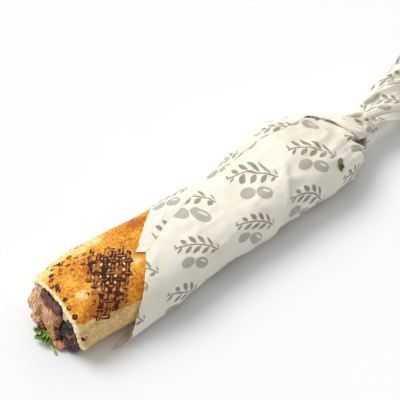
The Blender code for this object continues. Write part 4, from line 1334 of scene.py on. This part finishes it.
def tail_points(t, angle, folds, inset, shrink=1.0):
    """Points of the tail, which opens from the neck into a pleated fan."""
    centre, long_way, short_way = tail_frame(t)
    neck_width, neck_height = half_sizes(NECK_X)
    half_long = neck_width + (TAIL_END_HALF[0] - neck_width) * t ** TAIL_OPENING[0] - inset
    half_short = neck_height + (TAIL_END_HALF[1] - neck_height) * t ** TAIL_OPENING[1] - inset
    opened = ease(t, 0.0, TAIL_OPEN_AT)
    depth = TAIL_PLEAT * (0.45 * opened + 0.55 * ease(t, 0.45, 0.95))
    ripple = (1 + (depth + PLEAT_DEPTH / neck_width * (1 - opened)) * folds) * shrink
    across = (power(np.cos(angle), ROUND) * half_long * ripple)[..., None]
    above = (power(np.sin(angle), ROUND) * half_short * ripple)[..., None]
    return kept_above(centre + long_way * across + short_way * above, 0.0)


def merged(q, x):
    """How far the lap's edge sinks into the layer under it, where it is pressed flat."""
    return MERGED * ease(q, 0.012, 0.0) * ease(x, 62 * MM, 68 * MM) * ease(x, 172 * MM, 158 * MM)


def folded_in(x, degrees):
    """Where the paper is folded in at its gathered end, in a pocket between the folds and two pinched
    tucks, from 0 to 1, and the pocket's raised lip, in m. The share dents the paper and also sets the
    painted shade that makes the pocket and the tucks dark."""
    xs = x / MM
    first, last = POCKET_ANGLES[0], POCKET_ANGLES[-1]
    low = np.interp(degrees, (first, last), POCKET_FROM)
    high = np.interp(degrees, POCKET_ANGLES, POCKET_TO)
    within = ease(degrees, first - 4, first + 5) * ease(degrees, last + 6, last - 6)
    pocket = ease(xs, low - 1.0, low + 0.6) * ease(xs, high + 0.8, high - 0.6) * within
    tuck = hump(xs, np.interp(degrees, *TUCK), 1.9) * ease(degrees, 42, 52) * ease(degrees, 98, 90)
    rear = hump(degrees, np.interp(xs, *REAR_TUCK), 6) * ease(xs, 279, 283) * ease(xs, 298, 293)
    lip = POCKET_LIP * hump(xs, low - 2.0, 1.6) * within
    return np.maximum(pocket, 0.82 * np.maximum(tuck, rear)), lip


def front_row(q, layer, t):
    """A row of the sheet between its oblique front edge, t = 0, and FRONT_DONE_X, t = 1."""
    angle = lap_angle(LAP_STARTS) - SWEEP * q
    edge = np.interp(np.degrees(angle) + 360, FRONT_EDGE[:, 0], FRONT_EDGE[:, 1]) * MM
    x = edge + (FRONT_DONE_X - edge) * t
    angle = angle + (lap_angle(x) - lap_angle(LAP_STARTS)) * ease(q, LAP_FOLLOWED, 0.0)
    point = skin(x, angle, layer + pressed(x, angle) + merged(q, x))
    turned = (angle % (2 * math.pi) - FLAP_ANGLE) / FLAP_SPREAD
    push = FLAP_LIFT * np.exp(-turned * turned) * (1 - t) ** 2
    outward = np.stack([0 * angle, np.cos(angle), np.sin(angle)], axis=-1)
    return kept_above(point + outward * push[:, None], layer), x, angle


def body_row(q, layer, x):
    """A row of the sheet round the roll, with the pleats that gather it towards the neck."""
    x = np.full(q.shape, x)
    xs = x / MM
    gathered = ease(x, PLEAT_START_X, NECK_X)
    early = ease(xs, 216, 250)
    folds = big_pleats(q, 0.25 * (1 - gathered))
    small = small_pleats(q, 3 * (x - NECK_X) / NECK_X)
    radial = PLEAT_DEPTH * (0.30 * early + 0.75 * gathered) * folds + 0.42 * MM * early * small
    lean = PLEAT_LEAN * radial / np.maximum(half_sizes(x)[0], 9 * MM)
    start = lap_angle(LAP_STARTS)
    follow = ease(q, LAP_FOLLOWED, 0.0) * (1 - gathered) + gathered
    angle = start + (lap_angle(x) - start) * follow - SWEEP * q - lean
    pocket, lip = folded_in(x, np.degrees(angle) % 360)
    hem = q * SHEET_WIDTH / MM
    strips = FOLD_STEP * (1 - (hem / FOLD_WIDTH) % 1.0) * (hem < FOLD_COUNT * FOLD_WIDTH)
    strips = strips * ease(xs, 224, 238) * ease(xs, 268, 256)
    inset = layer + pressed(x, angle) * ease(x, NECK_X, 240 * MM) + merged(q, x)
    inset = inset + pocket * POCKET_DEPTH - lip - strips - radial * (1 - pocket)
    return skin(x, angle, inset, layer), x, angle


def tail_row(q, layer, t):
    """A row of the sheet round the tail, t from 0 at the neck to 1 at its uneven end."""
    along = t * (1 - 0.09 * (1 + pleat_wave(q * 2.2 + 0.3, 0.5)))
    x = NECK_X + along * TAIL_LENGTH
    folds = big_pleats(q)
    lean = PLEAT_LEAN * PLEAT_DEPTH * folds / half_sizes(NECK_X)[0] * ease(along, 0.5, 0.0)
    angle = lap_angle(NECK_X) - SWEEP * q
    tuck = folded_in(x, np.degrees(angle) % 360)[0]
    points = tail_points(along, angle - lean, folds + 0.22 * small_pleats(q) - 1.9 * tuck, layer)
    rumple = grain(points, 10, 3.3) * 1.0 + grain(points, 4, 1.3) * 0.25
    rumple = rumple * MM * ease(along, 0.05, 0.3)
    points[:, 2] += rumple
    points[:, 1] -= rumple * 0.6
    return points, x, angle


def plug_row(turn, s):
    """A row of the crushed folds that close the inside of the tail, from its wall in to the neck."""
    t = np.full(turn.shape, PLUG_FROM * (1 - s) + 0.02)
    folds = pleat_wave(turn * PLEATS / (2 * math.pi) - 0.9 * s, 0.6)
    small = 0.5 * pleat_wave(turn * 17 / (2 * math.pi) + 1.3 * s, 0.5)
    shrink = (1 - s) ** 0.6 * (1 + 0.35 * s * (folds + small)) * 0.96
    points = tail_points(t, turn + 0.9 * s, folds * (1 - s), 0.5 * MM, shrink)
    return points, NECK_X + t * TAIL_LENGTH, turn


def add_sheet(piece, rows, unrolled):
    """Adds rows of paper, each its points, their distances and angles, as printed when unrolled."""
    points, x, angles = (np.array(part) for part in zip(*rows))
    degrees = np.degrees(angles) % 360
    # The folded-in share is kept for the painted shade of the pocket and the tucks.
    fields = {"stain": np.clip(spots(x / MM, degrees, STAINS), 0, 1), "hollow": folded_in(x, degrees)[0]}
    across = np.broadcast_to(unrolled, x.shape)
    piece.add(points, grid_faces(*x.shape), across=across, down=x, **fields)


def add_wrap():
    hem = np.arange(0, HEM, HEM_STEP)
    q = np.concatenate([hem, np.linspace(HEM, SHEET_WIDTH, round((SHEET_WIDTH - HEM) / SHEET_STEP))])
    q = q / SHEET_WIDTH
    layer = np.interp(q, *LAYERS) * MM
    rows = [front_row(q, layer, t) for t in np.linspace(0, 1, FRONT_ROWS)]
    body_x = np.concatenate([np.arange(110, 216, 2.1), np.arange(216, 276.01, 1.0)]) * MM
    rows += [body_row(q, layer, x) for x in body_x]
    rows += [tail_row(q, layer, t) for t in np.linspace(0, 1, TAIL_ROWS)[1:]]
    turn = np.linspace(0, 2 * math.pi, PLUG_COLUMNS)
    plug = [plug_row(turn, s) for s in np.linspace(0, 1, PLUG_ROWS)]
    piece = Piece("printed_paper_wrap")
    add_sheet(piece, rows, q * SHEET_WIDTH)
    add_sheet(piece, plug, turn * 9 * MM)
    piece.finish(paper_paint("printed_paper"), ["paper_wrap"], SHEET)


# The two long edges of the inner ply's corner, from its root under the roll to its tip.
PLY_LEFT = np.array([
    (30.0, -15.2), (35.5, -21.5), (36.0, -26.0), (33.8, -27.2), (27.8, -28.6), (21.3, -30.6), (15.0, -33.1),
])
PLY_RIGHT = np.array([
    (39.0, -15.0), (41.0, -22.0), (39.0, -28.4), (36.0, -30.6), (30.5, -32.8), (25.5, -34.0), (21.5, -34.9),
])
PLY_GRID = (48, 24)
# How far the inner ply's paper is greyed: painted shade, as it lies in the shade under the roll.
PLY_SHADE = 0.30


def ply_points(u, v):
    """Points of the inner ply's corner, u from its root to its tip and v across it."""
    at = np.linspace(0, 1, len(PLY_LEFT))
    left, right = (
        np.stack([np.interp(u, at, edge[:, k]) for k in (0, 1)], axis=-1) for edge in (PLY_LEFT, PLY_RIGHT)
    )
    flat = left * (1 - v)[..., None] + right * v[..., None]
    rise = 0.10 * np.maximum(0, -29 - flat[..., 1])
    fold = 0.35 * hump(v, 0.35, 0.3) + 0.55 * hump(u, 1.0, 0.06) + 0.15 * np.sin(11 * u)
    z = -0.16 + (rise + np.maximum(fold, 0)) * ease(u, 0.45, 0.7)
    return np.concatenate([flat, z[..., None]], axis=-1) * MM


def add_inner_ply():
    u, v = np.meshgrid(*(np.linspace(0, 1, count) for count in PLY_GRID), indexing="ij")
    points = ply_points(u, v)
    piece = Piece("inner_paper_corner")
    piece.add(points, grid_faces(*PLY_GRID), stain=0.1 + 0.1 * u)
    piece.finish(paper_paint("inner_paper", PLY_SHADE, False), ["paper_inner_ply"], SHEET)


# The print: its repeat in mm, how much larger than drawn it is, its turn, and where it starts.
MOTIF_CELL = (45, 36)
MOTIF_SCALE = 1.2
MOTIF_TURN = math.radians(-56)
MOTIF_START = (8.21, 8.37)
STEM_HALF_LENGTH = 14.0
STEM_UP = 4.5
STEM_ARCH = 0.018
LEAF_STEP = 5.6
LEAF_LENGTH = 3.7
LEAF_LEAN = math.radians(46)
# The two olives and the shine on the first: middle, half sizes, turn.
OLIVE = ((-4.5, -7.5), (5.2, 3.7), 0.35)
SECOND_OLIVE = ((5.5, -7.0), (4.6, 3.4), -0.45)
SHINE = ((-5.5, -6.3), (2.4, 0.7), 0.35)


def sprig_ink(paint, a, b):
    """A leafy sprig, from 0 to 1, at places a along it and b across it in mm."""
    off_stem = b - STEM_UP + a * a * STEM_ARCH
    side = abs(off_stem)
    within = paint.math("LESS_THAN", abs(a), STEM_HALF_LENGTH)
    stem = paint.smooth(side, 0.65, 0.35) * within
    half_step = paint.math("GREATER_THAN", off_stem, 0.0) * 0.5
    place = paint.math("FRACT", (a + STEM_HALF_LENGTH) / LEAF_STEP + half_step) * LEAF_STEP - 2.9
    taper = paint.smooth(abs(a), 3.0, 15.0, 1.0, 0.55)
    out = side - taper * 3.3
    along = (place * math.cos(LEAF_LEAN) + out * math.sin(LEAF_LEAN)) / LEAF_LENGTH / taper
    across = out * math.cos(LEAF_LEAN) - place * math.sin(LEAF_LEAN)
    half_width = (1.0 - along * along) * 1.5 * taper
    leaf = paint.smooth(half_width - abs(across), -0.05, 0.3)
    return paint.math("MAXIMUM", stem, leaf * within)


def oval_reach(paint, a, b, centre, halves, turn):
    """How far out of an oval's middle a place is, 1 at its edge."""
    da, db = a - centre[0], b - centre[1]
    along = da * (math.cos(turn) / halves[0]) + db * (math.sin(turn) / halves[0])
    across = db * (math.cos(turn) / halves[1]) - da * (math.sin(turn) / halves[1])
    return paint.math("SQRT", along * along + across * across)


def motif_ink(paint, u, v):
    """A printed pattern in a half drop, from 0 to 1: a leafy sprig over two olives."""
    cos, sin = math.cos(MOTIF_TURN), math.sin(MOTIF_TURN)
    width, height = MOTIF_CELL
    column = u * (cos / width) + v * (sin / width) + MOTIF_START[0]
    row = v * (cos / height) - u * (sin / height) + MOTIF_START[1]
    row = row + paint.math("MODULO", abs(paint.math("FLOOR", column)), 2.0) * 0.5
    a = (paint.math("FRACT", column) - 0.5) * (width / MOTIF_SCALE)
    b = (paint.math("FRACT", row) - 0.5) * (height / MOTIF_SCALE)
    olives = (paint.smooth(oval_reach(paint, a, b, *olive), 1.04, 0.97) for olive in (OLIVE, SECOND_OLIVE))
    shine = paint.smooth(oval_reach(paint, a, b, *SHINE), 0.9, 1.1)
    fruits = paint.math("MAXIMUM", *olives) * shine * 0.72
    return paint.math("MAXIMUM", sprig_ink(paint, a, b), fruits)


def paper_paint(name, shade=0.0, printed=True):
    """Creamy paper, greased, with its print where it has one, and with painted shade: dark in the pocket
    and tucks of its gathered end, and grey all over by the given shade.
    """
    paint = Paint(name)
    fibre = paint.grain(2.2, 4, 0.7)
    color = paint.blend(paint.grain(14, 3), 0.3, 0.7, srgb(239, 233, 219), srgb(232, 226, 207))
    # Painted shade: the paper is mixed towards grey by the given share.
    color = paint.mix(shade, color, srgb(168, 164, 150))
    stain = paint.field("stain") * paint.smooth(fibre, 0.2, 0.7, 0.6, 1.0) * 0.55
    color = paint.mix(stain, color, srgb(200, 168, 112))
    if printed:
        hollow = paint.field("hollow")
        # Painted shade: the pocket and the tucks are mixed towards dark brown-grey, and the print fades
        # there.
        color = paint.mix(hollow * 0.85, color, srgb(84, 74, 58))
        ink = motif_ink(paint, paint.field("across") * 1000.0, paint.field("down") * 1000.0)
        worn = ink * paint.smooth(fibre, 0.2, 0.6, 0.60, 0.80) * paint.smooth(hollow, 0.1, 0.5, 1.0, 0.0)
        color = paint.mix(worn, color, srgb(106, 98, 78))
    normal = paint.bump(fibre, 0.05, paint.bump(paint.grain(8, 4, 0.6), 0.45))
    return paint.set(Base_Color=color, Roughness=0.60, Normal=normal)


# ---- The table and the run ------------------------------------------------------------------------

TABLE_HALF = 9


def add_table():
    mesh = bpy.data.meshes.new("table")
    corners = [(-TABLE_HALF, -TABLE_HALF, 0), (TABLE_HALF, -TABLE_HALF, 0)]
    corners += [(TABLE_HALF, TABLE_HALF, 0), (-TABLE_HALF, TABLE_HALF, 0)]
    mesh.from_pydata(corners, [], [(0, 1, 2, 3)])
    table = add_object("table", mesh)
    paint = Paint("white_table")
    tone = paint.mix(paint.grain(60, 2), (0.825, 0.825, 0.828), (0.81, 0.81, 0.813))
    mesh.materials.append(paint.set(Base_Color=tone, Roughness=0.7, Specular_IOR_Level=0.3))


add_camera()
add_light()
add_table()
add_bread()
add_fillings()
add_parsley()
add_flecks()
add_herb_scrap()
add_wrap()
add_inner_ply()
